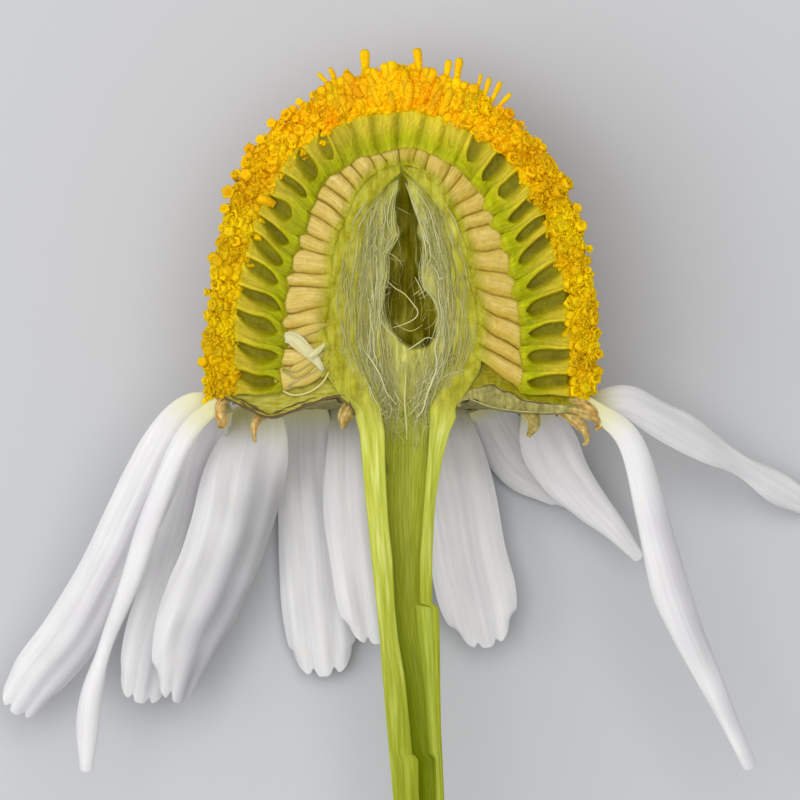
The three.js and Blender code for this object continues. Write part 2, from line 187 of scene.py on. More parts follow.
def rod(path, radii, sides, tone=0.0, flat=1.0, seed=0.0):
    """A closed round body along a path. `flat` squashes it towards the cut plane."""
    path = np.asarray(path, float)
    along = unit(np.gradient(path, axis=0))
    guide = np.array([0.0, 0.0, 1.0]) if abs(along[:, 2]).mean() < 0.8 else np.array([1.0, 0.0, 0.0])
    across = unit(np.cross(along, guide))
    up = np.cross(across, along)
    turn = np.arange(sides) * 2 * math.pi / sides
    radii = np.broadcast_to(radii, len(path))[:, None, None]
    ring = across[:, None] * np.cos(turn)[:, None] + up[:, None] * (flat * np.sin(turn))[:, None]
    points = path[:, None] + ring * radii
    length = np.concatenate([[0], np.cumsum(np.linalg.norm(np.diff(path, axis=0), axis=1))])
    grain = np.stack(np.broadcast_arrays(length[:, None], radii[..., 0] * turn, seed), axis=-1)
    if np.ndim(tone) > 1:
        tone = np.repeat(tone, sides, axis=0)
    rows = len(path)
    last = range((rows - 1) * sides, rows * sides)
    triangles = np.concatenate([cap_faces(range(sides)), cap_faces(last)])
    return Shape(points, grid_faces(rows, sides, wrap=True), triangles, grain, tone)


def axes_along(out, spin):
    """A turn whose second axis is `out`, turned about it by `spin`."""
    out = unit(np.asarray(out, float))
    side = np.array([0.0, 0.0, 1.0]) if abs(out[2]) < 0.8 else np.array([1.0, 0.0, 0.0])
    first = unit(np.cross(out, side))
    third = np.cross(first, out)
    cos, sin = math.cos(spin), math.sin(spin)
    return np.stack([first * cos + third * sin, out, third * cos - first * sin])


def placed(shape, at, out, spin, scale, tone=None):
    """A copy of a shape that was made round the Y axis, stood along `out` at a place."""
    points = shape.points * scale @ axes_along(out, spin) + np.asarray(at)
    tone = shape.tone if tone is None else tone
    return Shape(points, shape.quads, shape.triangles, shape.grain, tone)


class Heap:
    """Collects shapes and makes them one piece."""

    def __init__(self, *shapes):
        self.shapes = list(shapes)

    def add(self, *shapes):
        self.shapes.extend(shapes)

    def piece(self, name, look, slot, *nodes, sharp=60):
        starts = np.cumsum([0] + [len(s.points) for s in self.shapes])
        quads = np.concatenate([s.quads + start for s, start in zip(self.shapes, starts)])
        triangles = np.concatenate([s.triangles + start for s, start in zip(self.shapes, starts)])
        row = np.concatenate([s.points for s in self.shapes])
        row[:, 0] -= HEAD_LEAN * smooth_step(row[:, 1], 1.5, 5.5)
        row = row + [0, -REST_Y, CUT_HEIGHT]
        row[:, 2] = np.maximum(row[:, 2], 0.0)  # the lowest florets are pressed flat
        row = row * MM
        mesh = bpy.data.meshes.new(name)
        mesh.from_pydata(row.tolist(), [], quads.tolist() + triangles.tolist())
        for title, kind, field, values in (
            ("grain", "FLOAT_VECTOR", "vector", [s.grain for s in self.shapes]),
            ("tone", "FLOAT_COLOR", "color", [s.tone for s in self.shapes]),
        ):
            made = mesh.attributes.new(title, kind, "POINT")
            made.data.foreach_set(field, np.concatenate(values).astype(np.float32).ravel())
        outward(mesh)
        mesh.shade_smooth()
        mesh.set_sharp_from_angle(angle=math.radians(sharp))
        mesh.materials.append(look)
        made = bpy.data.objects.new(name, mesh)
        bpy.context.scene.collection.objects.link(made)
        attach(made, "root")
        if nodes:
            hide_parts(*nodes)


def outward(mesh):
    """Turns every closed body's faces outward."""
    work = bmesh.new()
    work.from_mesh(mesh)
    bmesh.ops.recalc_face_normals(work, faces=work.faces)
    work.to_mesh(mesh)
    work.free()


# ---- materials ----


NOISE_ROUGHNESS = 0.55


class Look:
    """A procedural material, made a node at a time. Lengths in its textures are in millimetres."""

    def __init__(self, name, **sockets):
        self.material = bpy.data.materials.new(name)
        self.material.use_nodes = True
        self.tree = self.material.node_tree
        self.shader = self.tree.nodes["Principled BSDF"]
        for socket, value in sockets.items():
            self.shader.inputs[socket.replace("_", " ")].default_value = value
        self.grain = self.attribute("grain").outputs["Vector"]
        tone = self.attribute("tone")
        self.alpha = tone.outputs["Alpha"]
        parts = self.node("ShaderNodeSeparateColor", {0: tone.outputs["Color"]})
        self.red, self.green, self.blue = (parts.outputs[k] for k in range(3))
        self.place = self.node("ShaderNodeTexCoord").outputs["Object"]

    def node(self, kind, inputs=None, **settings):
        made = self.tree.nodes.new(kind)
        for key, value in settings.items():
            setattr(made, key, value)
        for key, value in (inputs or {}).items():
            if isinstance(value, bpy.types.NodeSocket):
                self.tree.links.new(value, made.inputs[key])
            else:
                made.inputs[key].default_value = value
        return made

    def attribute(self, name):
        return self.node("ShaderNodeAttribute", attribute_name=name)

    def noise(self, size, detail=3.0, stretch=(1, 1, 1), along_grain=True):
        """Noise with features of about that size in mm, longer where stretch is below 1."""
        source = self.grain if along_grain else self.place
        unit_scale = 1.0 if along_grain else 1 / MM
        scale = [unit_scale * s / size for s in stretch]
        where = self.node("ShaderNodeVectorMath", {0: source, 1: scale}, operation="MULTIPLY")
        inputs = {"Vector": where.outputs[0], "Scale": 1.0, "Detail": detail, "Roughness": NOISE_ROUGHNESS}
        return self.node("ShaderNodeTexNoise", inputs).outputs["Fac"]

    def ramp(self, factor, *stops):
        """Colours or grey values at positions along a factor."""
        made = self.node("ShaderNodeValToRGB", {0: factor})
        elements = made.color_ramp.elements
        while len(elements) < len(stops):
            elements.new(0.5)
        for element, (position, colour) in zip(elements, stops):
            element.position = position
            grey = isinstance(colour, (int, float))
            element.color = (colour,) * 3 + (1,) if grey else (*colour, 1)
        return made.outputs["Color"]

    def mix(self, factor, first, second, blend="MIX"):
        colours = [(*c, 1) if isinstance(c, tuple) else c for c in (first, second)]
        made = self.node("ShaderNodeMixRGB", {1: colours[0], 2: colours[1]}, blend_type=blend)
        if isinstance(factor, bpy.types.NodeSocket):
            self.tree.links.new(factor, made.inputs[0])
        else:
            made.inputs[0].default_value = factor
        return made.outputs[0]

    def times(self, first, second):
        return self.mix(1.0, first, second, "MULTIPLY")

    def maths(self, operation, first, second=0.0):
        return self.node("ShaderNodeMath", {0: first, 1: second}, operation=operation).outputs[0]

    def finish(self, colour, height, depth, factor, smooth, rough):
        """Wires up the colour, the bumps of that depth in mm, and a roughness that goes from
        `smooth` to `rough` with the factor."""
        links, inputs = self.tree.links, self.shader.inputs
        links.new(colour, inputs["Base Color"])
        bump = self.node("ShaderNodeBump", {"Height": height, "Distance": depth * MM, "Strength": 1.0})
        links.new(bump.outputs[0], inputs["Normal"])
        links.new(self.ramp(factor, (0.3, smooth), (0.7, rough)), inputs["Roughness"])
        return self.material


MOIST = dict(
    IOR=1.4,
    Specular_IOR_Level=0.12,
    Subsurface_Weight=0.45,
    Subsurface_Radius=(1.0, 0.8, 0.2),
    Subsurface_Scale=0.00026,
)
FLESH = ((0.38, (0.25, 0.225, 0.0)), (0.5, (0.35, 0.32, 0.008)), (0.62, (0.48, 0.45, 0.045)))


def flesh(look):
    """The receptacle's mottled yellow-green flesh, the same in every piece that it shows in."""
    spots = look.noise(0.26, 4, along_grain=False)
    streaks = look.noise(0.11, 3, (1, 0.16, 1), along_grain=False)
    base = look.ramp(look.mix(0.55, spots, streaks), *FLESH)
    specks = look.ramp(look.noise(0.045, 2, along_grain=False), (0.62, 0), (0.72, 0.5))
    return look.mix(specks, base, (0.6, 0.58, 0.24))


def floret_look():
    """Grainy yellow, orange at the tip of the head, with painted shade: deeper orange down between the
    florets.
    """
    look = Look("floret_yellow", **MOIST)
    patches = look.noise(0.8, 3, along_grain=False)
    body = look.ramp(patches, (0.3, (0.62, 0.33, 0.0)), (0.5, (0.76, 0.45, 0.0)), (0.7, (0.9, 0.61, 0.0)))
    old = look.ramp(patches, (0.3, (1.0, 0.38, 0.0)), (0.7, (1.0, 0.57, 0.0)))
    body = look.mix(look.blue, body, old)
    # painted shade: where the first tone is low, at the florets' roots and in the creases of their bed, the
    # colour goes to a darker orange
    deep = look.mix(look.ramp(look.red, (0.1, 1), (0.45, 0)), body, (0.74, 0.38, 0.0))
    grains = look.noise(0.035, 2, along_grain=False)
    light = look.ramp(grains, (0.35, 0.86), (0.65, 1.1))
    colour = look.times(deep, light)
    # the second tone is a random brightness per floret, kept low at the low left of the band as painted shade
    colour = look.times(colour, look.ramp(look.green, (0, 0.82), (0.3, 0.96), (1, 1.13)))
    return look.finish(colour, grains, 0.01, grains, 0.42, 0.68)


def tube_look():
    """Pale green walls, bright green at the foot and yellow at the mouth, round dark slits. The slits'
    dark is partly painted shade, and the walls carry painted light and shade across them.
    """
    look = Look("tube_green", **MOIST)
    streaks = look.noise(0.05, 4, (0.14, 1, 1))
    along = look.ramp(
        look.red,
        (0.0, (0.38, 0.36, 0.01)),
        (0.12, (0.33, 0.35, 0.0)),
        (0.35, (0.4, 0.37, 0.004)),
        (0.65, (0.55, 0.44, 0.025)),
        (0.86, (0.54, 0.44, 0.015)),
        (1.0, (0.8, 0.53, 0.002)),
    )
    light = look.ramp(streaks, (0.28, 0.78), (0.5, 0.98), (0.72, 1.25))
    wall = look.times(along, light)
    # painted light and shade: the fourth tone lightens and darkens the walls
    wall = look.times(wall, look.ramp(look.alpha, (0.0, 0.8), (0.5, 0.95), (1.0, 1.15)))
    # painted shade: the slits' dark green is partly their own darker inside, partly shade painted into the
    # sunk slits
    slit = look.ramp(look.noise(0.3, 2, (0.5, 1, 1)), (0.3, (0.12, 0.1, 0.0)), (0.7, (0.21, 0.19, 0.0)))
    colour = look.mix(look.green, wall, slit)
    colour = look.mix(look.blue, colour, (0.28, 0.25, 0.0))
    return look.finish(colour, streaks, 0.01, streaks, 0.34, 0.55)


def ovary_look():
    """Waxy cream with fine streaks, tan between the rods, yellow-green at the foot. The tan and the
    darker mouths are partly painted shade on each rod's lower side, sides and round end.
    """
    look = Look("ovary_cream", **MOIST)
    streaks = look.noise(0.045, 4, (0.12, 1, 1))
    cream = look.ramp(
        streaks, (0.24, (0.51, 0.36, 0.065)), (0.5, (0.62, 0.465, 0.125)), (0.76, (0.74, 0.6, 0.26))
    )
    # the tan is partly the rods' own colour, partly painted shade on their lower sides, sides and ends
    tan = look.ramp(streaks, (0.3, (0.44, 0.3, 0.025)), (0.7, (0.55, 0.41, 0.08)))
    colour = look.mix(look.green, cream, tan)
    # the seams between the rods are partly dark joints, partly painted shade in the creases
    colour = look.mix(look.blue, colour, (0.42, 0.28, 0.03))
    foot = look.ramp(look.red, (0.03, 1), (0.34, 0))
    colour = look.mix(foot, colour, flesh(look))
    # painted shade on the rods' round, falling mouths
    mouth = look.ramp(look.red, (0.88, 0), (1.0, 0.8))
    colour = look.mix(mouth, colour, (0.5, 0.36, 0.03))
    scrap = look.ramp(streaks, (0.3, (0.58, 0.5, 0.2)), (0.7, (0.76, 0.7, 0.38)))
    colour = look.mix(look.alpha, colour, scrap)
    return look.finish(colour, streaks, 0.01, streaks, 0.3, 0.45)


def silver(look):
    """The pith's silvery veil, and the clouds in it."""
    threads = look.noise(0.03, 4, (0.05, 1, 1))
    clouds = look.noise(0.3, 3, (0.3, 1, 1))
    veil = look.ramp(
        threads, (0.3, (0.39, 0.365, 0.05)), (0.5, (0.5, 0.47, 0.095)), (0.72, (0.64, 0.61, 0.19))
    )
    return threads, clouds, look.times(veil, look.ramp(clouds, (0.35, 0.64), (0.65, 1.36)))


def stalk_colours(look, foot):
    """The stalk's cut wall and the inside of its bore, greener where `foot` nears 1."""
    streaks = look.noise(0.06, 4, (0.05, 1, 1))
    threads = look.noise(0.025, 3, (0.03, 1, 1))
    cut = look.ramp(
        streaks, (0.3, (0.4, 0.43, 0.03)), (0.5, (0.52, 0.55, 0.08)), (0.68, (0.68, 0.71, 0.26))
    )
    cut = look.mix(foot, cut, look.times(cut, (0.56, 0.6, 0.2)))
    bore = look.ramp(
        threads, (0.3, (0.22, 0.23, 0.008)), (0.5, (0.31, 0.33, 0.028)), (0.72, (0.43, 0.45, 0.065))
    )
    bore = look.mix(foot, bore, look.times(bore, (0.56, 0.66, 0.08)))
    return streaks, threads, cut, bore


def floor_look():
    """The receptacle's flesh, dark olive towards the right of the cut as painted shade in the sunk crack
    there.
    """
    look = Look("flesh_green", **MOIST)
    grains = look.noise(0.06, 4, along_grain=False)
    # painted shade: this dark olive stands for the shade in the sunk crack under the florets
    torn = look.ramp(grains, (0.35, (0.12, 0.09, 0.0)), (0.65, (0.26, 0.22, 0.0)))
    lines = look.noise(0.07, 4, (0.25, 1, 1), along_grain=False)
    pale = look.ramp(lines, (0.35, (0.3, 0.26, 0.01)), (0.65, (0.56, 0.52, 0.14)))
    colour = look.mix(look.green, look.mix(look.blue, flesh(look), pale), torn)
    return look.finish(colour, grains, 0.008, grains, 0.34, 0.56)


def stalk_look():
    """Streaked green: pale where the wall is cut, darker in the bore, mottled in the receptacle. In
    the stalk the tone's fourth number says how near the foot a place is, in the receptacle how far
    the pith's veil covers it."""
    look = Look("stem_green", **MOIST)
    streaks, threads, cut, bore = stalk_colours(look, look.alpha)
    veiled = look.mix(look.alpha, flesh(look), silver(look)[2])
    face = look.mix(look.blue, cut, veiled)
    skin = look.ramp(streaks, (0.32, (0.26, 0.32, 0.02)), (0.66, (0.42, 0.47, 0.07)))
    colour = look.mix(look.red, skin, face)
    colour = look.mix(look.green, colour, bore)
    height = look.maths("ADD", threads, streaks)
    return look.finish(colour, height, 0.008, streaks, 0.34, 0.56)


def pith_look():
    """A silvery veil that goes over into flesh at its edge, and into an olive dark inside the gap that is
    painted shade.
    """
    look = Look("pith_grey", **{**MOIST, "Specular_IOR_Level": 0.08})
    threads, clouds, veil = silver(look)
    colour = look.mix(look.red, flesh(look), veil)
    # painted shade: the deep gap in the lining is coloured olive dark
    hollow = look.ramp(
        clouds, (0.32, (0.07, 0.056, 0.0)), (0.5, (0.14, 0.12, 0.0)), (0.7, (0.26, 0.235, 0.025))
    )
    colour = look.mix(look.green, colour, hollow)
    colour = look.mix(look.ramp(look.alpha, (0.0, 0), (1.0, 1)), colour, stalk_colours(look, 0.0)[3])
    fibre = look.ramp(look.blue, (0, (0.46, 0.43, 0.09)), (1, (0.78, 0.75, 0.36)))
    colour = look.mix(look.ramp(look.blue, (0.0, 0), (0.02, 1)), colour, fibre)
    return look.finish(colour, threads, 0.012, threads, 0.45, 0.7)


def bract_look():
    """Mottled olive green, drying to brown at the tip, with a thin pale edge and dark seams."""
    look = Look("bract_green", IOR=1.4)
    streaks = look.noise(0.05, 4, (0.15, 1, 1))
    green = look.ramp(streaks, (0.3, (0.17, 0.15, 0.02)), (0.5, (0.27, 0.24, 0.05)), (0.7, (0.4, 0.37, 0.13)))
    brown = look.ramp(streaks, (0.3, (0.3, 0.12, 0.02)), (0.5, (0.52, 0.31, 0.08)), (0.7, (0.72, 0.54, 0.2)))
    colour = look.mix(look.red, green, brown)
    colour = look.mix(look.green, colour, (0.56, 0.5, 0.22))
    mottle = look.ramp(look.noise(0.09, 4, along_grain=False), (0.35, 0.72), (0.65, 1.25))
    colour = look.times(colour, mottle)
    colour = look.mix(look.blue, colour, (0.1, 0.05, 0.01))
    return look.finish(colour, streaks, 0.015, streaks, 0.5, 0.75)


def petal_look():
    """White with faint lilac-grey streaks along its veins, yellow-green at the claw, and on some
    petals painted shade in lilac-grey over the right half.
    """
    look = Look(
        "petal_white",
        IOR=1.35,
        Specular_IOR_Level=0.3,
        Subsurface_Weight=0.5,
        Subsurface_Radius=(1.0, 1.0, 1.0),
        Subsurface_Scale=0.00025,
    )
    veins = look.noise(0.1, 4, (0.03, 1, 1))
    cells = look.noise(0.018, 2, (0.25, 1, 1))
    cloud = look.noise(0.8, 3, (0.5, 1, 1))
    white = look.ramp(
        veins, (0.28, (0.68, 0.672, 0.685)), (0.5, (0.735, 0.728, 0.732)), (0.7, (0.79, 0.785, 0.775))
    )
    colour = look.times(white, look.ramp(cloud, (0.3, (0.92, 0.91, 0.93)), (0.7, (1.0, 1.0, 1.0))))
    spots = look.ramp(look.noise(0.35, 2, (0.35, 1, 1)), (0.66, 0), (0.76, 0.3))
    colour = look.mix(spots, colour, (0.78, 0.74, 0.5))
    colour = look.mix(look.red, colour, (0.62, 0.6, 0.2))
    # the second tone mixes in lilac-grey: faint along the veins, and painted shade over a petal's right half
    colour = look.mix(look.green, colour, (0.5, 0.49, 0.52))
    height = look.maths("ADD", look.maths("MULTIPLY", veins, 2.0), cells)
    return look.finish(colour, height, 0.0035, cloud, 0.42, 0.6)


# ---- the head's skins ----

POINTED = 2.6  # the exponents of a dome's outline, which make its shoulders full
ROUND = 2.2


class Skin:
    """A dome-shaped layer, lower by `dip` at its shoulders. Shares run up its outline from 0 at the
    rim to 1 at the tip."""

    def __init__(self, radius, height, dip=0.0):
        rise = np.linspace(0, 1, 400)
        r = radius * np.cos(rise * HALF_TURN) ** (2 / ROUND)
        y = height * np.sin(rise * HALF_TURN) ** (2 / POINTED)
        y -= dip * smooth_step(rise, 0.46, 0.64) * (1 - smooth_step(rise, 0.82, 1.0))
        length = np.concatenate([[0], np.cumsum(np.hypot(np.diff(r), np.diff(y)))])
        self.length = length[-1]
        self.share = length / length[-1]
        self.r, self.y = r, y
        way = unit(np.stack([np.gradient(y), -np.gradient(r)], axis=1))
        self.way_r, self.way_y = way.T

    def at(self, share):
        """(radius, y) at a share of the outline."""
        share = np.clip(share, 0, 1)
        return np.interp(share, self.share, self.r), np.interp(share, self.share, self.y)

    def out(self, share):
        """The outward direction (radial, y) at a share of the outline."""
        share = np.clip(share, 0, 1)
        return np.interp(share, self.share, self.way_r), np.interp(share, self.share, self.way_y)

    def flat(self, share, side):
        """The point in the cut plane at a share, on the left (side -1) or the right (1)."""
        r, y = self.at(share)
        return np.stack([side * r, y], axis=-1)


HEAD = Skin(3.98, 6.7, 0.19)
CORE = Skin(3.66, 6.4, 0.19)
TUBE_MOUTH = Skin(3.5, 5.77)
TUBE_FOOT = Skin(2.5, 4.98)
RECEPTACLE = Skin(1.58, 4.66)


def spiral_spots(skin, count):
    """Places in the spiral that a head grows in, as (point, outward direction, share)."""
    fine = np.linspace(1, 0, 600)
    r, y = skin.at(fine)
    ring = (r[1:] + r[:-1]) / 2 * np.hypot(np.diff(r), np.diff(y))
    area = np.concatenate([[0], np.cumsum(ring)])
    wanted = area[-1] * (np.arange(count) + 0.5) / count
    for k, share in enumerate(np.interp(wanted, area, fine)):
        spin = k * GOLDEN_ANGLE
        around = np.array([math.cos(spin), 0, math.sin(spin)])
        (radius, height), (way_r, way_y) = skin.at(share), skin.out(share)
        up = np.array([0.0, 1.0, 0.0])
        yield around * radius + up * height, around * way_r + up * way_y, share


# ---- disc florets ----

FLORET_COUNT = 1400  # on a whole head, so about half of them are here
FLORET_COLUMNS = 15
# The rings of an open floret and of a bud, root to middle: radius and height between the lobes, and
# how much a lobe adds to each.
OPEN_RINGS = [
    (0.09, -0.3, 0.0, 0.0),
    (0.115, -0.07, 0.015, 0.0),
    (0.125, 0.0, 0.04, -0.01),
    (0.13, 0.03, 0.058, -0.025),
    (0.115, 0.05, 0.05, -0.005),
    (0.09, 0.04, 0.025, 0.01),
    (0.05, -0.05, 0.0, 0.0),
]
BUD_RINGS = [
    (0.08, -0.3, 0.0, 0.0),
    (0.12, -0.08, 0.01, 0.0),
    (0.125, 0.0, 0.02, 0.0),
    (0.11, 0.07, 0.024, 0.0),
    (0.08, 0.11, 0.02, 0.0),
    (0.045, 0.135, 0.012, 0.0),
    (0.015, 0.142, 0.004, 0.0),
]


def floret(openness, rng):
    """A floret's top round the Y axis, its lobes' tips near y 0."""
    rings = np.array(BUD_RINGS) * (1 - openness) + np.array(OPEN_RINGS) * openness
    turn = np.arange(FLORET_COLUMNS) * 2 * math.pi / FLORET_COLUMNS
    own = np.repeat(rng.uniform(0.7, 1.25, 5), FLORET_COLUMNS // 5)
    lobe = (0.5 + 0.5 * np.cos(5 * turn - 2 * math.pi / 3)) * own
    radius = rings[:, 0:1] + rings[:, 2:3] * lobe
    height = rings[:, 1:2] + rings[:, 3:4] * lobe * rng.uniform(0.4, 1.6)
    points = np.stack([radius * np.cos(turn), height + 0 * turn, radius * np.sin(turn)], axis=-1)
    level = np.broadcast_to(np.linspace(0, 1, len(rings))[:, None], radius.shape)
    tone = np.zeros((*radius.shape, 4))
    # the low first tone of the lower rings is painted shade: the material darkens the roots between the
    # florets
    tone[..., 0] = np.where(level < 0.8, level * 1.2, 1.15 - 0.6 * openness * (level - 0.8) / 0.2)
    count = len(rings) * FLORET_COLUMNS
    last = range(count - FLORET_COLUMNS, count)
    caps = np.concatenate([cap_faces(range(FLORET_COLUMNS)), cap_faces(last)])
    faces = grid_faces(len(rings), FLORET_COLUMNS, wrap=True)
    return Shape(points, faces, caps, None, tone.reshape(-1, 4))


STIGMA_RADIUS = 0.02


def stigma(rng):
    """The two curled arms that stand out of an open floret, round the Y axis."""
    arms = []
    for side in (-1, 1):
        reach = rng.uniform(0.05, 0.09) * side
        path = spline([(0, -0.06, 0), (0.25 * reach, 0.05, 0), (0.8 * reach, 0.1, 0), (reach, 0.06, 0)], 5)
        arms.append(rod(path, [STIGMA_RADIUS] * 4 + [STIGMA_RADIUS * 0.7], 5, (0.95, 0.7, 0, 0)))
    return arms


def grain_shape():
    """A pollen grain: a ball of twenty faces."""
    golden = (1 + math.sqrt(5)) / 2
    corners = []
    for one in (-1, 1):
        for far in (-golden, golden):
            corners += [(0, one, far), (one, far, 0), (far, 0, one)]
    corners = unit(np.array(corners, float))
    near = np.linalg.norm(corners[:, None] - corners[None], axis=-1) < 1.2
    faces = [
        (a, b, c)
        for a in range(12)
        for b in range(a + 1, 12)
        for c in range(b + 1, 12)
        if near[a, b] and near[b, c] and near[a, c]
    ]
    return Shape(corners, [], faces, None, (1, 0.9, 0, 0))


APEX_BUDS = 0.86  # the share of the outline above which the florets are still closed
HALF_OPEN = 0.12  # of the outline below that, where they are half open
FACE_MARGIN = 0.1  # from the cut plane to the nearest floret of the spiral
TIP_MARGIN = 0.3  # the same near the tip of the head, where the long buds stand
TIP_SHARE = 0.84


def orange_at(share):
    """How orange the florets are at a share of the outline."""
    return float(smooth_step(share, 0.4, 0.82))


def toned(shape, brightness, orange):
    tone = shape.tone.copy()
    tone[:, 1:3] = brightness, orange
    return tone


def in_band(share, deep):
    """(radius, y) in the yellow band at a share of the outline, that far out from the tubes."""
    (r0, y0), (r1, y1) = TUBE_MOUTH.at(share), HEAD.at(share)
    return r0 + (r1 - r0) * deep, y0 + (y1 - y0) * deep


def head_florets(heap, arms, rng):
    """The florets all over the round side, in their spiral, and the arms that stand out of them."""
    shapes = {
        "open": [floret(1, rng) for _ in range(6)],
        "half": [floret(0.5, rng) for _ in range(4)],
        "bud": [floret(0, rng) for _ in range(3)],
    }
    for at, out, share in spiral_spots(HEAD, FLORET_COUNT):
        if at[2] > -FACE_MARGIN or at[1] < 0.04:
            continue
        closed = share + rng.normal() * 0.04
        kind = "bud" if closed > APEX_BUDS else "half" if closed > APEX_BUDS - HALF_OPEN else "open"
        if kind == "open" and rng.random() < 0.2:
            kind = "half"
        shape = shapes[kind][rng.integers(len(shapes[kind]))]
        out = unit(out + rng.normal(size=3) * 0.2)
        if share > TIP_SHARE and at[2] > -TIP_MARGIN:
            continue
        at = at - out * rng.uniform(0.1, 0.19)
        size = rng.uniform(0.88, 1.12) * (0.9 + 0.16 * (1 - share))
        tone = toned(shape, rng.random(), orange_at(share))
        spin = rng.uniform(0, 2 * math.pi)
        heap.add(placed(shape, at, out, spin, size, tone))
        if kind != "bud" and rng.random() < 0.75:
            for arm in stigma(rng):
                arms.add(placed(arm, at, out, spin, size))


BAND_LEVELS = (0.06, 0.34, 0.62, 0.88)  # of the rows that the cut florets lie in, from the tubes outward
LOW_BAND = 0.24  # the share of the outline up to which the left side of the band is painted darker, as painted shade


def cut_florets(heap, rng):
    """The florets that the cut laid bare in the yellow band, seen from the side and from above."""
    for side in (-1, 1):
        for share in np.linspace(0.0, APEX_BUDS, 72):
            for level in BAND_LEVELS:
                flat = np.array(in_band(share, level + rng.uniform(-0.16, 0.13)))
                flat += rng.normal(size=2) * 0.04
                way_r, way_y = HEAD.out(share)
                out = np.array([side * way_r, way_y, rng.uniform(0.7, 2.6)])
                out = unit(out + rng.normal(size=3) * 0.35)
                shape = floret(rng.uniform(0, 0.4) if share > 0.8 else rng.uniform(0.2, 1), rng)
                # painted shade: the florets at the low left of the band get a lower brightness
                brightness = rng.random() * (0.2 if side < 0 and share < LOW_BAND else 1)
                tone = toned(shape, brightness, orange_at(share))
                at = np.array([side * flat[0], max(flat[1], 0.08), rng.uniform(-0.13, 0.0)])
                heap.add(placed(shape, at, out, rng.uniform(0, 6), rng.uniform(0.5, 0.95), tone))
                if rng.random() < 0.3:
                    for arm in stigma(rng):
                        heap.add(placed(arm, at, out, rng.uniform(0, 6), 0.9))


# Where the band's lowest florets hang over the rim: the middles of two patches, their spread and
# how many florets each has.
LOW_PATCHES = (((3.62, -0.06), (0.12, 0.12), 22), ((-3.78, -0.02), (0.1, 0.06), 10))


def low_florets(heap, rng):
    for middle, spread, count in LOW_PATCHES:
        for _ in range(count):
            x, y = middle + rng.normal(size=2) * spread
            out = unit(np.array([math.copysign(0.6, x), -0.4, 1.0]) + rng.normal(size=3) * 0.4)
            shape = floret(rng.uniform(0.1, 0.8), rng)
            tone = toned(shape, rng.random(), 0.0)
            at = (x, max(y, -0.28), rng.uniform(-0.2, -0.06))
            heap.add(placed(shape, at, out, rng.uniform(0, 6), rng.uniform(0.5, 0.75), tone))


# The long styles that stand out at the tip: the place of the tip, its lean and its width.
STYLES = [
    ((-0.76, 6.99), 0.05, 0.1),
    ((0.3, 7.02), -0.03, 0.09),
    ((0.95, 6.78), 0.12, 0.07),
    ((1.17, 6.82), 0.12, 0.08),
    ((-0.2, 6.76), 0.0, 0.1),
    ((-1.14, 6.6), -0.4, 0.055),
    ((-1.46, 6.62), -0.35, 0.055),
    ((-1.7, 6.52), -0.8, 0.045),
    ((1.78, 6.42), 0.3, 0.055),
    ((2.0, 6.34), 0.5, 0.055),
    ((2.2, 6.1), 0.7, 0.05),
    ((1.6, 6.5), 0.2, 0.04),
]
STYLE_LENGTH = 0.75
# A style's radius along it, as shares of its width: its tip is a blunt knob.
STYLE_SHAPE = (0.9, 0.9, 0.9, 0.9, 0.88, 0.86, 0.86, 0.88, 0.95, 1.05, 1.02, 0.8)
BUD_SHAPE = (0.7, 0.85, 0.92, 0.95, 1.0, 1.04, 1.06, 1.0, 0.8, 0.35)


def styles(heap, rng):
    for (x, y), lean, radius in STYLES:
        tip = np.array([x + HEAD_LEAN, y, -0.05])
        foot = tip - STYLE_LENGTH * np.array([math.sin(lean), math.cos(lean), 0.25])
        path = spline([foot, (foot + tip) / 2 + rng.normal(size=3) * 0.02, tip], 12)
        radii = radius * np.array(STYLE_SHAPE)
        tone = np.tile([0.9, 0.4 + 0.6 * rng.random(), 0.3, 0], (12, 1))
        heap.add(rod(path, radii, 14, tone))


BUD_COUNT = 84
# The rows that the buds stand in: how far out in the band each starts, and how long they are.
BUD_ROWS = ((0.02, 0.62), (0.34, 0.52), (0.6, 0.36))


def cut_buds(heap, rng):
    """The long closed florets at the tip of the head, laid bare by the cut and standing outward."""
    for k in range(BUD_COUNT):
        side = 1 if k % 2 else -1
        share = 0.8 + 0.2 * ((k // 6 + rng.random()) / (BUD_COUNT // 6))
        start, length = BUD_ROWS[k % 3]
        start, length = start + rng.uniform(-0.08, 0.08), length * rng.uniform(0.8, 1.15)
        (r, y), (way_r, way_y) = in_band(share, start), HEAD.out(share)
        way = np.array([side * way_r + rng.normal() * 0.1, way_y, rng.uniform(-0.1, 0.1)])
        foot = np.array([side * r, y, rng.uniform(-0.14, -0.05)])
        path = spline([foot, foot + way * length * 0.5, foot + way * length], 10)
        radii = rng.uniform(0.085, 0.12) * np.array(BUD_SHAPE)
        tone = np.zeros((10, 4))
        # the buds' feet get a low first tone, which the material paints darker orange as shade
        tone[:, 0] = np.linspace(0.3, 1.0, 10)
        tone[:, 1] = rng.random()
        tone[:, 2] = float(smooth_step(share, 0.74, 0.92))
        heap.add(rod(path, radii, 12, tone))


def billows(points, size, seed):
    """Rounded lumps of about that size, 0 in the creases between them."""
    return np.minimum(np.abs(ripple(points, size, seed)) * 1.3, 1.0)


def core_shell():
    """The closed shell under the florets."""
    share = np.linspace(0, 1, 40)
    turn = np.linspace(0, math.pi, 72)
    r, y = CORE.at(share)
    y = np.broadcast_to(np.maximum(y, 0.03)[:, None], (40, 72))
    deep = np.maximum(r[:, None] * np.sin(turn), 0.25)
    shell = np.stack([r[:, None] * np.cos(turn), y, -deep], axis=-1)
    shell += 0.03 * ripple(shell, 0.35, 3)[..., None]
    # a low first tone: the shell under the florets is painted darker orange, as painted shade
    return sheet(shell, np.full((40, 72), 0.1), None, (0.35, 0.3, 0, 0))


BED_COLUMNS, BED_ROWS = 520, 32
BED_DEPTH, BED_FLOOR = 0.1, -0.32  # of its top below the cut plane, and the level of its underside


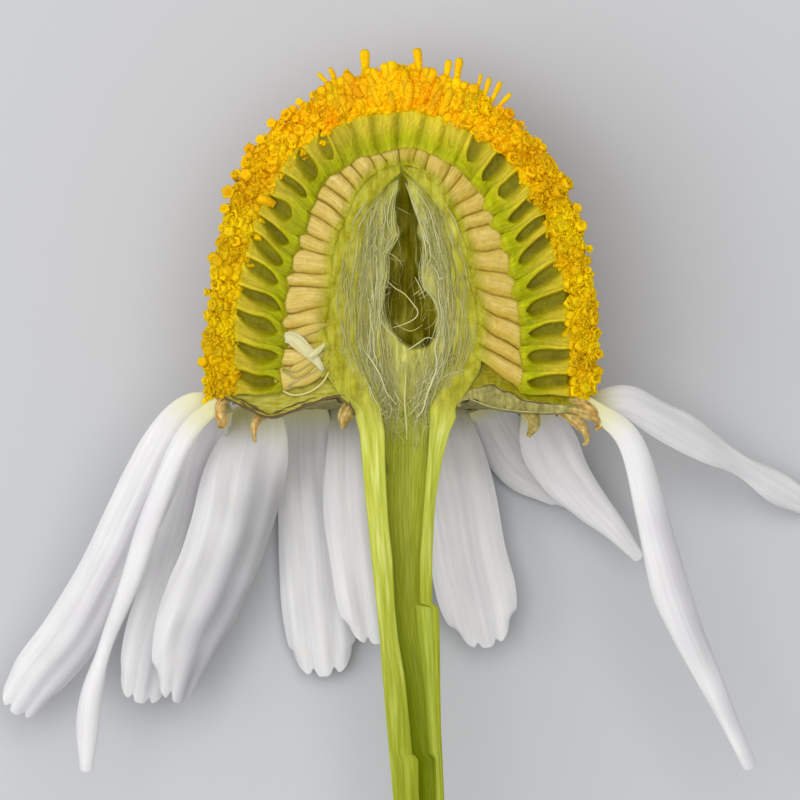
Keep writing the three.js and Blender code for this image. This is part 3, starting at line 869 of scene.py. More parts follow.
def band_bed():
    """The lumpy bed that the cut florets lie on, in the yellow band of the cut face."""
    half = BED_COLUMNS // 2
    both = np.concatenate([np.linspace(0, 1, half), np.linspace(1, 0, half)])
    side = np.concatenate([-np.ones(half), np.ones(half)])
    levels = np.linspace(0, 1, BED_ROWS)[:, None]
    inner = TUBE_MOUTH.flat(both, side) * 0.955
    outer = HEAD.flat(both, side) * 0.985
    flat = inner[:, None] * (1 - levels) + outer[:, None] * levels
    flat[..., 1] = np.maximum(flat[..., 1], 0.06)
    top = np.concatenate([flat, np.full((*flat.shape[:2], 1), -BED_DEPTH)], axis=-1)
    ragged = (0.1 * ripple(top, 0.4, 4) + 0.1 * ripple(top, 1.1, 9)) * (1 - levels[:, 0])
    top[..., :2] += ragged[..., None] * unit(flat)
    lumps = 0.5 * billows(top, 0.5, 5) + 0.3 * billows(top, 0.24, 6) + 0.2 * billows(top, 0.11, 7)
    started = smooth_step(levels[:, 0], 0.0, 0.16)
    top[..., 2] += 0.26 * (lumps - 0.3) * started - 0.06 * (1 - started)
    tone = np.zeros((*top.shape[:2], 4))
    # painted shade: the creases between the lumps get a low first tone, which the material darkens
    tone[..., 0] = np.clip(0.2 + 1.3 * lumps, 0, 1)
    tone[..., 1] = 0.5 + 0.3 * ripple(top, 0.6, 8)
    tone[..., 2] = smooth_step(both, 0.5, 0.88)[:, None]
    top, tone = (values.swapaxes(0, 1) for values in (top, tone))
    return slab(top, BED_FLOOR, top, tone)


POLLEN_COUNT = 3400


def pollen(rng):
    """Loose grains all over the florets, thickest in the cut band."""
    heap = Heap()
    ball = grain_shape()
    for k in range(POLLEN_COUNT):
        size = rng.uniform(0.014, 0.03)
        if k % 3:
            share, spin = rng.random() ** 1.2, rng.uniform(0, math.pi)
            (r, y), (way_r, way_y) = HEAD.at(share), HEAD.out(share)
            sunk = rng.uniform(-0.02, 0.1)
            r, y = r - way_r * sunk, y - way_y * sunk
            at = (r * math.cos(spin), max(y, 0.05), -r * math.sin(spin))
        else:
            share, side = rng.random(), rng.choice([-1, 1])
            r, y = in_band(share, rng.uniform(0.12, 0.95))
            at = (side * r, y, rng.uniform(-0.04, 0.07))
        tone = (1, rng.random(), float(smooth_step(share, 0.72, 0.95)) * 0.6, 0)
        heap.add(placed(ball, at, (0, 1, 0), rng.uniform(0, 6), size, np.tile(tone, (12, 1))))
    return heap


# ---- the rows of tubes and ovaries in the cut face ----

ROW_REACH = 1.06  # of its length: how far a row runs outward, under the next layer
# How many points there are across a unit of each row, and along it.
TUBE_GRID, OVARY_GRID = (28, 46), (18, 42)

def split_row(skins, feet, mouths, side, grid, relief, inward, scallop):
    """One side's row of units, cut open, as one sheet with relief that lies in the cut plane between
    two skins. relief(k, v, u) gives unit k's heights and tones, v from -1 to 1 across it, upward,
    and u from 0 to 1 along it, outward. The sheet runs on inward by that share of its
    length, and each unit's foot is round by `scallop` of it."""
    (inner, outer), (columns, rows) = skins, grid
    u = np.linspace(-inward, ROW_REACH, rows)[:, None]
    tops, tones, grains = [], [], []
    for k in range(len(feet) - 1):
        count = columns + (k == len(feet) - 2)
        v = -1 + 2 * np.arange(count) / columns
        share = (v + 1) / 2
        foot = scallop[k] * np.sqrt(np.maximum(1 - v * v, 0)) * (1 - np.clip(u, 0, 1)) ** 2
        a = inner.flat(feet[k] + (feet[k + 1] - feet[k]) * share, side)
        b = outer.flat(mouths[k] + (mouths[k + 1] - mouths[k]) * share, side)
        flat = a + (b - a) * (u - foot)[..., None]
        high, tone = relief(k, v, np.maximum(u, 0))
        high = high - 0.5 * np.maximum(-u, 0)
        length, width = np.linalg.norm(b - a, axis=1).mean(), np.linalg.norm(b[-1] - b[0])
        grain = np.broadcast_arrays(u * length, v * width / 2, 0.37 * k + 9 * side)
        tops.append(np.concatenate([flat, high[..., None]], axis=-1))
        tones.append(tone)
        grains.append(np.stack(grain, axis=-1))
    top = np.concatenate(tops, axis=1)
    spot = top * [1, 1, 0]
    top += WOBBLE * np.stack([ripple(spot, 1.0, 51), ripple(spot, 1.0, 52), 0 * spot[..., 0]], axis=-1)
    top[..., 2] += 0.008 * ripple(top, 0.13, 11)
    return slab(top, ROW_FLOOR, np.concatenate(grains, axis=1), np.concatenate(tones, axis=1))


ROW_FLOOR = -0.45
WOBBLE = 0.035  # how far the rows stray from even spacing
TUBES_PER_SIDE = 14
# How far a tube's mouth stands above its foot's share of the outline, from the rim to the tip.
TUBE_LEAN = {
    -1: (0.02, 0.015, 0.003, -0.015, -0.01, 0.0),
    1: (0.005, -0.02, -0.005, -0.035, -0.015, 0.0),
}
SLIT_DEPTH = 0.11


# The slits of the left and the right tubes: how they narrow to the mouth, and where they end.
SLIT_TAPER = {-1: 2.4, 1: 6.0}
SLIT_END = {-1: 0.88, 1: 0.98}


def tube_relief(side, shares, rng):
    """A tube split open: a sunk slit, blunt at its foot, with a straight upper and a round lower
    side, between pale walls. Near the tip of the head the slits close to soft stripes."""
    own = rng.random((len(shares), 6))

    def relief(k, v, u):
        closed = float(smooth_step(shares[k], 0.74, 0.88))
        start = 0.06 + 0.14 * own[k, 0] + 0.14 * smooth_step(shares[k], 0.1, 0.6)
        end = SLIT_END[side] + 0.14 * own[k, 1]
        t = np.clip((u - start) / (end - start), 0, 1)
        outline = (1 - np.exp(-t / 0.09)) * (1 - t ** SLIT_TAPER[side]) ** 0.7 + 1e-3
        middle = 0.2 + 0.2 * (own[k, 2] - 0.5) + 0.3 * (t - 0.4)
        upper = v > middle
        wide = np.where(upper, 0.55, 1.04) * (0.82 + 0.28 * own[k, 3])
        across = np.abs(v - middle) / (wide * outline)
        slit = 1 - np.where(upper, smooth_step(across, 0.62, 1.1), smooth_step(across, 0.25, 1.12))
        slit = slit * (1 - closed) * (t > 0)
        seam = closed * np.exp(-(((1 - np.abs(v)) / 0.3) ** 2))
        open_foot = (1 - closed) * (1 - smooth_step(u, 0.0, 0.06))
        bulb = (1 - closed) * np.exp(-(((u - 0.1) / 0.1) ** 2)) * (1 - v * v)
        high = 0.04 - SLIT_DEPTH * slit - 0.04 * seam + 0.07 * bulb - 0.05 * open_foot
        high = high + 0.06 * (own[k, 4] - 0.5) * (1 - v * v) - 0.14 * smooth_step(u, 0.86, ROW_REACH)
        tone = np.zeros((*np.broadcast_shapes(v.shape, u.shape), 4))
        tone[..., 0] = u
        # the slit's darkness is partly painted shade, full under its upper wall and fading towards its lower
        # side
        tone[..., 1] = slit
        line = 0.75 * seam * smooth_step(u, -0.1, 0.3) * (1.1 - 0.6 * u)
        # the sunk foot of an open tube gets a little painted shade
        tone[..., 2] = np.clip(line + 0.1 * open_foot, 0, 1)
        # painted light and shade: an open tube's wall is lighter towards its upper side, a closed tube
        # lighter in its middle, and the left row darker than the right; own[k, 5] adds a random tone
        painted_wall_shade = (1 - closed) * (0.5 + 0.5 * v) + closed * (1 - 0.8 * np.abs(v))
        tone[..., 3] = np.clip(painted_wall_shade + 0.5 * (own[k, 5] - 0.5) + 0.25 * side, 0, 1)
        return high, tone

    return relief


def tube_row(rng):
    heap = Heap()
    for side in (-1, 1):
        steps = np.linspace(0, 1, TUBES_PER_SIDE + 1)
        feet = steps * (1.12 - 0.12 * steps)
        feet[1:-1] += rng.normal(size=TUBES_PER_SIDE - 1) * 0.005
        mouths = np.clip(feet + mixed(TUBE_LEAN[side], feet), 0, 1)
        mouths[0] = 0
        mouths[1:-1] += rng.normal(size=TUBES_PER_SIDE - 1) * 0.004
        middles = (feet[1:] + feet[:-1]) / 2
        relief = tube_relief(side, middles, rng)
        round_feet = 0.12 * (1 - smooth_step(middles, 0.55, 0.8)) * rng.uniform(0.5, 1.3, TUBES_PER_SIDE)
        skins = (TUBE_FOOT, TUBE_MOUTH)
        heap.add(split_row(skins, feet, mouths, side, TUBE_GRID, relief, 0.04, round_feet))
    return heap


OVARY_COUNT = {-1: 16, 1: 14}
LOWEST_OVARY = {-1: 0.07, 1: 0.13}  # the share of the receptacle below which no ovary stands
# How far an ovary's mouth stands above its foot's share of the outline, from the rim to the tip.
OVARY_LEAN = {-1: (-0.07, -0.057, -0.042, -0.027, 0.0), 1: (-0.13, -0.12, -0.056, -0.028, 0.0)}


def ovary_relief(count, tan, rng):
    """Waxy rods side by side, sunk into the receptacle at their feet and round at their mouths.
    Those near the tip of the head are still green for most of their length, and all are darker by
    `tan`, which also deepens the painted shade on the lowest rods. Each rod is painted in shade on
    its lower side, at its sides and at its round mouth."""
    own = rng.random((count, 6))

    def relief(k, v, u):
        young = float(smooth_step(k / count, 0.6, 0.95))
        lean = 0.5 * (own[k, 0] - 0.5) * (2 * u - 1) * (1 - v * v)
        fall = smooth_step(u, 0.9, 1.0)
        c = np.clip((v + lean) * (1 + 0.25 * fall**2), -1, 1)
        body = np.sqrt(np.maximum(1 - c * c, 0))
        rise = smooth_step(u, 0.0, 0.4)
        crown = (0.08 + 0.08 * own[k, 1]) * (0.2 + 0.8 * rise) * (1 - 0.6 * fall) * (1 - 0.4 * young)
        ridge = 0.015 * np.exp(-(((c - 0.5 + own[k, 4]) / 0.12) ** 2)) * rise
        high = 0.01 - 0.09 * smooth_step(u, 0.0, 0.35) + crown * body**0.8 + ridge
        seam = np.exp(-(((1 - np.abs(c)) / 0.08) ** 2))
        # painted shade: each rod is darker towards its lower side, most on the lowest rods
        below = smooth_step(-c, -0.1, 0.95) * (0.5 + 2.0 * tan * max(1 - k / 3, 0))
        tone = np.zeros((*np.broadcast_shapes(v.shape, u.shape), 4))
        tone[..., 0] = u * (1 - 0.65 * young)
        # the second tone: painted shade from the lower side, the sides (c * c) and the falling mouth, with a
        # random tone from own[k, 2] and the row's tan
        tone[..., 1] = np.clip(below + 0.35 * c * c + 0.4 * own[k, 2] ** 2 + 0.3 * fall + tan - 0.1, 0, 1)
        low = 1 - smooth_step(k / count, 0.1, 0.4)
        # the seams: partly dark joints, partly painted shade in the creases, stronger on the lowest rods
        tone[..., 2] = (0.1 + 0.2 * low) * seam * smooth_step(u, 0.1, 0.4) * (0.4 + 0.6 * own[k, 3])
        return high, tone

    return relief


def ribbon(points, widths, thickness, tone, rows=20, columns=7, cup=0.0, face=(0, 0, 1)):
    """A thin strip along a route, its face turned one way."""
    centre = spline(points, rows)
    along = unit(np.gradient(centre, axis=0))
    up = np.broadcast_to(np.asarray(face, float), centre.shape)
    up = unit(up - along * np.sum(up * along, axis=1, keepdims=True))
    across = np.cross(up, along)
    half = mixed(widths, np.linspace(0, 1, rows)) / 2
    c = np.linspace(-1, 1, columns)
    middle = centre[:, None] + across[:, None] * (half[:, None] * c)[..., None]
    middle += up[:, None] * (cup * half[:, None] * (1 - c * c))[..., None]
    thick = np.broadcast_to(thickness * (1 - 0.6 * c**2), (rows, columns))
    length = np.linalg.norm(np.diff(centre, axis=0), axis=1).sum()
    grain = np.stack(
        np.broadcast_arrays(np.linspace(0, length, rows)[:, None], half[:, None] * c, centre[0, 0]), axis=-1
    )
    return sheet(middle, thick, grain, tone)


# Loose rods that cross each other at the foot of the left row: route, widths and how tan they are.
LOOSE_RODS = [
    ([(-1.5, 1.44, -0.02), (-1.95, 1.3, 0.03), (-2.38, 1.16, 0.0)], (0.06, 0.09, 0.1, 0.06), 0.3),
    ([(-1.46, 0.96, -0.02), (-1.9, 0.66, 0.03), (-2.36, 0.42, 0.0)], (0.05, 0.09, 0.1, 0.05), 0.5),
    ([(-1.44, 0.62, -0.02), (-1.85, 0.34, 0.03), (-2.3, 0.2, 0.0)], (0.05, 0.08, 0.1, 0.06), 0.25),
    ([(-2.42, 0.5, 0.0), (-2.1, 0.4, 0.05), (-1.7, 0.72, 0.04)], (0.05, 0.07, 0.08, 0.04), 0.6),
]
# A scrap of pale skin lying across them, and its narrower branch.
SCRAP = [(-2.42, 1.15, 0.05), (-2.22, 1.15, 0.08), (-1.97, 0.94, 0.1), (-1.72, 0.68, 0.08), (-1.6, 0.5, 0.03)]
SCRAP_WIDTHS = (0.18, 0.29, 0.25, 0.18, 0.09)
SCRAP_BRANCH = [(-1.86, 0.78, 0.12), (-1.7, 0.9, 0.14), (-1.57, 1.02, 0.08)]
SCRAP_BRANCH_WIDTHS = (0.16, 0.12, 0.06)
# The cream lip that bounds them below.
LIP = [(-2.44, 0.1, -0.02), (-2.2, 0.0, 0.0), (-1.88, 0.06, 0.02), (-1.62, 0.24, 0.03), (-1.48, 0.46, 0.0)]


def ovary_row(rng):
    heap = Heap()
    for side in (-1, 1):
        count = OVARY_COUNT[side]
        steps = np.linspace(0, 1, count + 1)
        steps = steps * (1.2 - 0.2 * steps)
        feet = LOWEST_OVARY[side] + (1 - LOWEST_OVARY[side]) * steps
        mouths = feet + mixed(OVARY_LEAN[side], steps)
        feet[1:-1] += rng.normal(size=count - 1) * 0.006
        mouths[1:-1] += rng.normal(size=count - 1) * 0.007
        relief = ovary_relief(count, 0.2 + 0.22 * side, rng)
        skins = (RECEPTACLE, TUBE_FOOT)
        heap.add(split_row(skins, feet, mouths, side, OVARY_GRID, relief, 0.12, np.zeros(count)))
    for points, widths, tan in LOOSE_RODS:
        tone = np.zeros((14, 4))
        tone[:, 0] = np.linspace(0.1, 0.9, 14)
        tone[:, 1] = tan
        radii = mixed(widths, np.linspace(0, 1, 14))
        heap.add(rod(spline(points, 14), radii, 14, tone, 0.6, rng.uniform(0, 50)))
    heap.add(ribbon(SCRAP, SCRAP_WIDTHS, 0.03, (0.5, 0, 0, 1), cup=0.1))
    heap.add(ribbon(SCRAP_BRANCH, SCRAP_BRANCH_WIDTHS, 0.03, (0.5, 0, 0, 1), cup=0.3))
    heap.add(rod(spline(LIP, 24), np.full(24, 0.022), 8, (0.5, 0, 0, 0.6)))
    return heap


# ---- stalk and receptacle ----

# Stations up the stalk, bottom to top: the outside's [radius, y] and the bore's, then the tissue's
# kind, from 0 in the stalk to 1 in the receptacle.
STATIONS = [
    (0.5, -9.4, 0.27, -9.4, 0),
    (0.52, -8.0, 0.27, -8.0, 0),
    (0.56, -6.6, 0.28, -6.6, 0),
    (0.6, -5.0, 0.3, -5.0, 0),
    (0.64, -3.6, 0.32, -3.6, 0),
    (0.67, -2.5, 0.35, -2.5, 0),
    (0.76, -1.6, 0.4, -1.6, 0),
    (0.85, -0.9, 0.44, -0.9, 0.1),
    (0.95, -0.42, 0.48, -0.45, 0.35),
    (1.2, -0.1, 0.56, -0.15, 0.75),
]
STEM_LENGTH = 9.4
STEM_SWAY = 0.42  # how far the stalk's cut end leans to the right of the head's axis
BORE_SHIFT = 0.08  # of the bore and the hollow to the right of the stalk's middle
STALK_ROWS = 230
CUT_COLUMNS = 18
ARC_COLUMNS = 34
# Up the stalk in the cut plane: the height, then the left skin, the bore's left and right edges and
# the right skin. The right wall is torn off up to TORN_Y, and the left wall has a step at STEP_Y.
TORN_Y, STEP_Y = -4.26, -7.32
STALK_EDGES = [
    (-9.4, -0.08, 0.4, 0.84, 0.92),
    (-8.06, -0.19, 0.345, 0.79, 0.85),
    (STEP_Y - 0.04, -0.25, 0.335, 0.755, 0.82),
    (STEP_Y + 0.04, -0.26, 0.21, 0.75, 0.815),
    (-6.7, -0.31, 0.16, 0.69, 0.79),
    (-5.7, -0.395, 0.06, 0.65, 0.775),
    (-4.9, -0.45, -0.08, 0.625, 0.765),
    (TORN_Y - 0.04, -0.515, -0.14, 0.605, 0.75),
    (TORN_Y + 0.04, -0.525, -0.145, 0.36, 0.61),
    (-3.3, -0.62, -0.19, 0.36, 0.615),
    (-2.5, -0.7, -0.28, 0.42, 0.65),
    (-2.0, -0.75, -0.31, 0.46, 0.7),
    (-1.3, -0.81, -0.335, 0.51, 0.82),
    (-0.75, -0.86, -0.345, 0.545, 0.97),
    (-0.45, -0.94, -0.4, 0.56, 1.1),
]
SHALLOW = 0.75  # how much shallower the bore's right side is below TORN_Y


def stalk_edges(y, first, radius, shift):
    """The left and right edge of the stalk (first 0) or its bore (first 1) at those heights."""
    table = np.array(STALK_EDGES)
    left, right = (np.interp(y, table[:, 0], table[:, k]) for k in (1 + first, 4 - first))
    above = smooth_step(y, table[-1, 0], 0.0)
    return left + (shift - radius - left) * above, right + (shift + radius - right) * above


def sway(y):
    return STEM_SWAY * (np.minimum(y, 0) / STEM_LENGTH) ** 2


def receptacle_stations():
    """The stations of the receptacle, up to the tip of the hollow."""
    for share in np.linspace(0.1, 0.995, 12):
        r, y = RECEPTACLE.at(share)
        height = min(y * 0.97, HOLLOW_HIGH)
        inner = float(mixed(HOLLOW_HALF, hollow_share(height))) * 1.02
        yield r, y, max(inner, 0.02), height, 1


def stalk_body():
    """The stalk and receptacle as one loft of half rings: outer arc, cut face, inner arc, cut face."""
    stations = spline([*STATIONS, *receptacle_stations()], STALK_ROWS)
    r_out, y_out, r_in, y_in, kind = stations.T
    turn = np.linspace(0, math.pi, ARC_COLUMNS)
    shares = np.linspace(0, 1, CUT_COLUMNS + 2)[1:-1]
    stalk_only = (1 - smooth_step(y_out, -1.5, -0.4))[:, None]
    ribs = 1 + 0.03 * stalk_only * np.cos(turn * 15)
    raised = 1 - SHALLOW * smooth_step(np.cos(turn), 0.0, 0.7) * (y_in < TORN_Y)[:, None]

    def arc(radius, y, first, factor):
        left, right = stalk_edges(y, first, radius, BORE_SHIFT * first)
        middle = left + radius
        reach = np.where(np.cos(turn) > 0, (right - middle)[:, None], radius[:, None])
        x = middle[:, None] + reach * np.cos(turn)
        deep = radius[:, None] * factor * np.sin(turn)
        return np.stack([x, np.broadcast_to(y[:, None], x.shape), -deep], axis=-1)

    outer = arc(r_out, y_out, 0, ribs)
    inner = arc(r_in, y_in, 1, raised)[:, ::-1]
    left = outer[:, -1:] * (1 - shares[:, None]) + inner[:, :1] * shares[:, None]
    right = inner[:, -1:] * (1 - shares[:, None]) + outer[:, :1] * shares[:, None]
    bulge = np.sin(math.pi * shares)
    for face in (left, right):
        streaky = ripple(face * [1, 0.12, 1], 0.14, 21) * (1 - kind[:, None])
        lumpy = ripple(face, 0.3, 22) * kind[:, None]
        face[..., 2] += bulge * (0.03 * (1 - kind[:, None]) + 0.014 * streaky + 0.02 * lumpy)
    ring = np.concatenate([outer, left, inner, right], axis=1)
    columns = ring.shape[1]
    cuts, arcs = np.zeros(CUT_COLUMNS), np.zeros(ARC_COLUMNS)
    tone = np.zeros((STALK_ROWS, columns, 4))
    tone[..., 0] = np.concatenate([arcs, cuts + 1, arcs, cuts + 1])
    # painted light: below TORN_Y the bore's right side is coloured the lighter skin green instead of the dark
    # bore green
    painted_side_light = 1 - 0.95 * smooth_step(np.cos(turn[::-1]), 0.1, 0.6) * (y_in < TORN_Y)[:, None]
    tone[:, ARC_COLUMNS + CUT_COLUMNS : columns - CUT_COLUMNS, 1] = painted_side_light
    tone[..., 2] = kind[:, None]
    tone[..., 3] = smooth_step(-y_out, 1.0, 8.0)[:, None]
    for first, face in ((ARC_COLUMNS, left), (columns - CUT_COLUMNS, right)):
        tone[:, first : first + CUT_COLUMNS, 3] += veiled(face) * smooth_step(y_out, 0.0, 0.3)[:, None]
    tone[:, columns - CUT_COLUMNS :, 3] += 0.35 * smooth_step(-y_out, 0.0, 1.5)[:, None]
    around = np.concatenate([turn * 0.6, 2 + shares * 0.4, 4 + turn * 0.4, 6 + shares * 0.4])
    across = np.broadcast_to(around, (STALK_ROWS, columns))
    grain = np.stack([np.broadcast_to(y_out[:, None], across.shape), across, 0 * across], axis=-1)
    first_inner = ARC_COLUMNS + CUT_COLUMNS
    last = (STALK_ROWS - 1) * columns
    caps = [end_cap(columns, ARC_COLUMNS, first_inner), cap_faces(range(last, last + columns))]
    faces = grid_faces(STALK_ROWS, columns, wrap=True)
    return Shape(ring, faces, np.concatenate(caps), grain, tone.reshape(-1, 4))


def end_cap(columns, arcs, first_inner):
    """The half ring of the stalk's cut end, as triangles between its outer and inner arcs."""
    faces = []
    for k in range(arcs - 1):
        c = first_inner + arcs - 1 - k
        faces += [(k, k + 1, c), (k + 1, c - 1, c)]
    left = [arcs - 1, *range(arcs, first_inner), first_inner]
    right = [first_inner + arcs - 1, *range(first_inner + arcs, columns), 0]
    return np.concatenate([faces, cap_faces(left), cap_faces(right)])


# How many points the floor and the pad have round the head, and outward.
FLOOR_GRID, PAD_GRID = (110, 40), (120, 30)
# The tissue under the florets as [radius, y] points out from the receptacle, along its top and its
# underside, at the right of the cut (1) and at its left (-1), where it hangs in a wedge.
FLOOR_TOP = {
    1: [(1.4, 1.0), (1.68, 0.9), (2.1, 0.56), (2.5, 0.2), (3.1, 0.12), (3.64, 0.12)],
    -1: [(1.15, 0.55), (1.5, 0.44), (2.0, 0.28), (2.5, 0.14), (3.1, 0.12), (3.66, 0.14)],
}
FLOOR_UNDER = {
    1: [(1.0, -0.3), (1.4, 0.1), (1.68, 0.18), (1.9, 0.17), (2.25, 0.0), (2.6, -0.12), (3.55, -0.24)],
    0: [(0.9, -0.3), (1.45, -0.02), (1.75, -0.04), (2.1, -0.08), (2.8, -0.14), (3.55, -0.14)],
    -1: [(0.95, -0.36), (1.2, 0.0), (1.9, -0.18), (2.65, -0.44), (3.3, -0.18), (3.62, -0.02)],
}
PAD_UNDER = {
    1: [(0.95, -0.3), (1.3, -0.1), (1.5, -0.1), (1.8, -0.24), (2.4, -0.33), (3.0, -0.36), (3.5, -0.36)],
    0: [(0.95, -0.3), (1.3, -0.14), (1.8, -0.14), (2.4, -0.2), (3.0, -0.24), (3.5, -0.22)],
    -1: [(0.95, -0.42), (1.25, -0.05), (1.9, -0.22), (2.65, -0.47), (3.3, -0.21), (3.6, -0.05)],
}


def floor_line(table, turn, count):
    """That line, at turns round the head from the right (0) to the left (pi). The shapes that the
    cut shows at either side run out behind it into an even one, if the table has it."""
    to_left = smooth_step(turn, 0.35, math.pi - 0.35)[:, None, None]
    lines = spline(table[1], count) * (1 - to_left) + spline(table[-1], count) * to_left
    if 0 in table:
        even = smooth_step(np.sin(turn), 0.08, 0.45)[:, None, None]
        lines = lines * (1 - even) + spline(table[0], count) * even
    return lines


def turned(line, turn):
    """[radius, y] points turned round the head's axis, one line to each turn."""
    r, y = line[..., 0], line[..., 1]
    return np.stack([r * np.cos(turn)[:, None], y, -r * np.sin(turn)[:, None]], axis=-1)


def floor_ring():
    """The tissue under the florets. Its inner part is sunk below the receptacle's cut face, and its
    top below the rows that stand on it."""
    turn = np.linspace(0, math.pi, FLOOR_GRID[0])
    top = turned(floor_line(FLOOR_TOP, turn, FLOOR_GRID[1]), turn)
    under = turned(floor_line(FLOOR_UNDER, turn, FLOOR_GRID[1]), turn)
    for side in (top, under):
        side[..., 1] += 0.012 * ripple(side, 0.3, 41)
        radius = np.hypot(side[..., 0], side[..., 2])
        edge = np.interp(side[..., 1], (-0.42, -0.1, 0.3, 0.9), (0.95, 1.2, 1.46, 1.55))
        side[..., 2] -= 0.08 * (1 - smooth_step(radius - edge, -0.06, 0.02))
    top[..., 2] -= 0.16
    to_right = smooth_step(np.cos(turn), 0.0, 0.8)[:, None] * np.ones(40)
    deep = np.zeros((2, 110, 40, 4))
    # painted shade: towards the right the second tone gives the top and the underside the dark olive of the
    # crack
    deep[0, ..., 1] = 0.95 * to_right
    deep[1, ..., 1] = 0.55 * to_right
    deep[..., 2] = 0.6 * (1 - to_right)
    heap = Heap()
    heap.add(two_sided(top, under, None, deep[0]))
    heap.shapes[0].tone = deep.reshape(-1, 4)
    return heap


def stalk():
    heap = Heap()
    heap.add(stalk_body())
    return heap


# ---- pith ----

# The hollow's half width up the head, evenly spaced from HOLLOW_LOW to HOLLOW_HIGH.
HOLLOW_LOW, HOLLOW_HIGH = -1.6, 4.5
HOLLOW_HALF = (0.4, 0.43, 0.46, 0.53, 0.68, 0.88, 1.0, 1.03, 1.02, 0.98, 0.92, 0.84, 0.72, 0.48, 0.05)
# The edges of the torn gap in its lining, as [x, y], from the top down.
GAP_TOP, GAP_FOOT = 4.44, 0.9
GAP_LEFT = (
    (0.02, 4.44), (-0.13, 4.1), (-0.17, 3.76), (-0.17, 3.44), (-0.1, 3.24), (-0.3, 3.02), (-0.39, 2.78),
    (-0.36, 2.4), (-0.46, 2.1), (-0.45, 1.6), (-0.34, 1.34), (-0.12, 1.1), (0.1, 0.94),
)
GAP_RIGHT = (
    (0.05, 4.44), (0.15, 4.0), (0.28, 3.6), (0.34, 3.2), (0.36, 2.74), (0.3, 2.44), (0.38, 2.16),
    (0.6, 1.9), (0.66, 1.58), (0.58, 1.2), (0.46, 1.0), (0.28, 0.9),
)
GAP_DEPTH = 0.45


def hollow_share(y):
    return (y - HOLLOW_LOW) / (HOLLOW_HIGH - HOLLOW_LOW)


def half_at(y):
    return np.maximum(mixed(HOLLOW_HALF, hollow_share(y)), 0.02)


def gap_edge(side, y):
    x, height = np.array(side)[::-1].T
    return np.interp(y, height, x)


def lining_depth(x, y):
    """How far the lining lies below the cut plane, and how far a place is inside the gap, 0 to 1."""
    half = half_at(y)
    bowl = np.sqrt(np.maximum(1 - np.clip(np.abs(x) / half, 0, 1) ** 2, 0))
    in_stalk = 1 - smooth_step(y, -0.9, 0.6)
    deep = half * in_stalk * (0.94 + 0.12 * (1 - smooth_step(y, -1.4, -0.8))) + 0.16 * (1 - in_stalk)
    torn = np.stack([0 * y, y, 0 * y], axis=-1)
    left = gap_edge(GAP_LEFT, y) + 0.03 * ripple(torn, 0.5, 38)
    right = gap_edge(GAP_RIGHT, y) + 0.03 * ripple(torn, 0.5, 39)
    inside = smooth_step(x, left - 0.03, left + 0.05) * smooth_step(-x, -right - 0.03, -right + 0.05)
    inside = inside * smooth_step(y, GAP_FOOT, GAP_FOOT + 0.15) * (y < GAP_TOP)
    return np.minimum(bowl * (deep + GAP_DEPTH * inside), half * bowl * 1.06), inside


LINING_GRID = (180, 90)
VEIL_MARGIN = 0.12  # how far the lining laps over the flesh, as a share of the hollow's half width


def veiled(points):
    """How far the silvery veil covers the cut face at these places, 0 to 1."""
    x, y = points[..., 0] - sway(points[..., 1]) - BORE_SHIFT, points[..., 1]
    edge = np.abs(x) / half_at(y)
    flat = points * [1, 0.5, 0]
    ragged = 0.1 * ripple(flat, 0.25, 34) + 0.1 * ripple(flat, 0.6, 37)
    return (1 - smooth_step(edge + ragged, 0.55, 1.4)) * smooth_step(HOLLOW_HIGH - y, 0.0, 0.25)


def lining():
    """The hollow's lining: a veil with upright folds, torn open in its middle, that goes over into
    the flesh at its edge."""
    rows, columns = LINING_GRID
    y = np.linspace(HOLLOW_LOW, HOLLOW_HIGH, rows)[:, None] * np.ones(columns)
    high = smooth_step(y, -0.3, 0.9)
    c = np.linspace(-1, 1, columns) * (1 + VEIL_MARGIN * high)
    edge = np.abs(c)
    x = half_at(y) * c
    depth, inside = lining_depth(x, y)
    top = np.stack([x + sway(y) + BORE_SHIFT, y, -depth], axis=-1)
    top[..., 0] += 0.03 * ripple(top, 0.45, 36) * high
    folds = ripple(top * [1, 0.14, 0.3], 0.2, 31)
    rough = ripple(top * [1, 0.4, 1], 0.1, 32)
    lap = 0.045 * smooth_step(edge, 0.9, 1.0) - 0.1 * smooth_step(edge, 1.0, 1 + VEIL_MARGIN)
    top[..., 2] += (0.035 * folds + 0.014 * rough) * (0.25 + 0.75 * high) * (1 - smooth_step(edge, 0.7, 1.0))
    top[..., 2] += 0.06 * ripple(top * [1, 0.5, 0], 0.5, 33) * inside + lap * high
    tone = np.zeros((rows, columns, 4))
    tone[..., 0] = np.maximum(veiled(top), 1 - smooth_step(y, -0.3, 0.3))
    # painted shade: the second tone marks the deep gap, which the material colours olive dark
    tone[..., 1] = inside
    tone[..., 3] = 1 - smooth_step(y + 0.2 * ripple(top, 0.3, 35), -1.0, 0.3)
    grain = np.stack([y, x, 0 * y], axis=-1)
    return two_sided(top, top - [0, 0, 0.04], grain, tone)


FIBRE_COUNT = 640


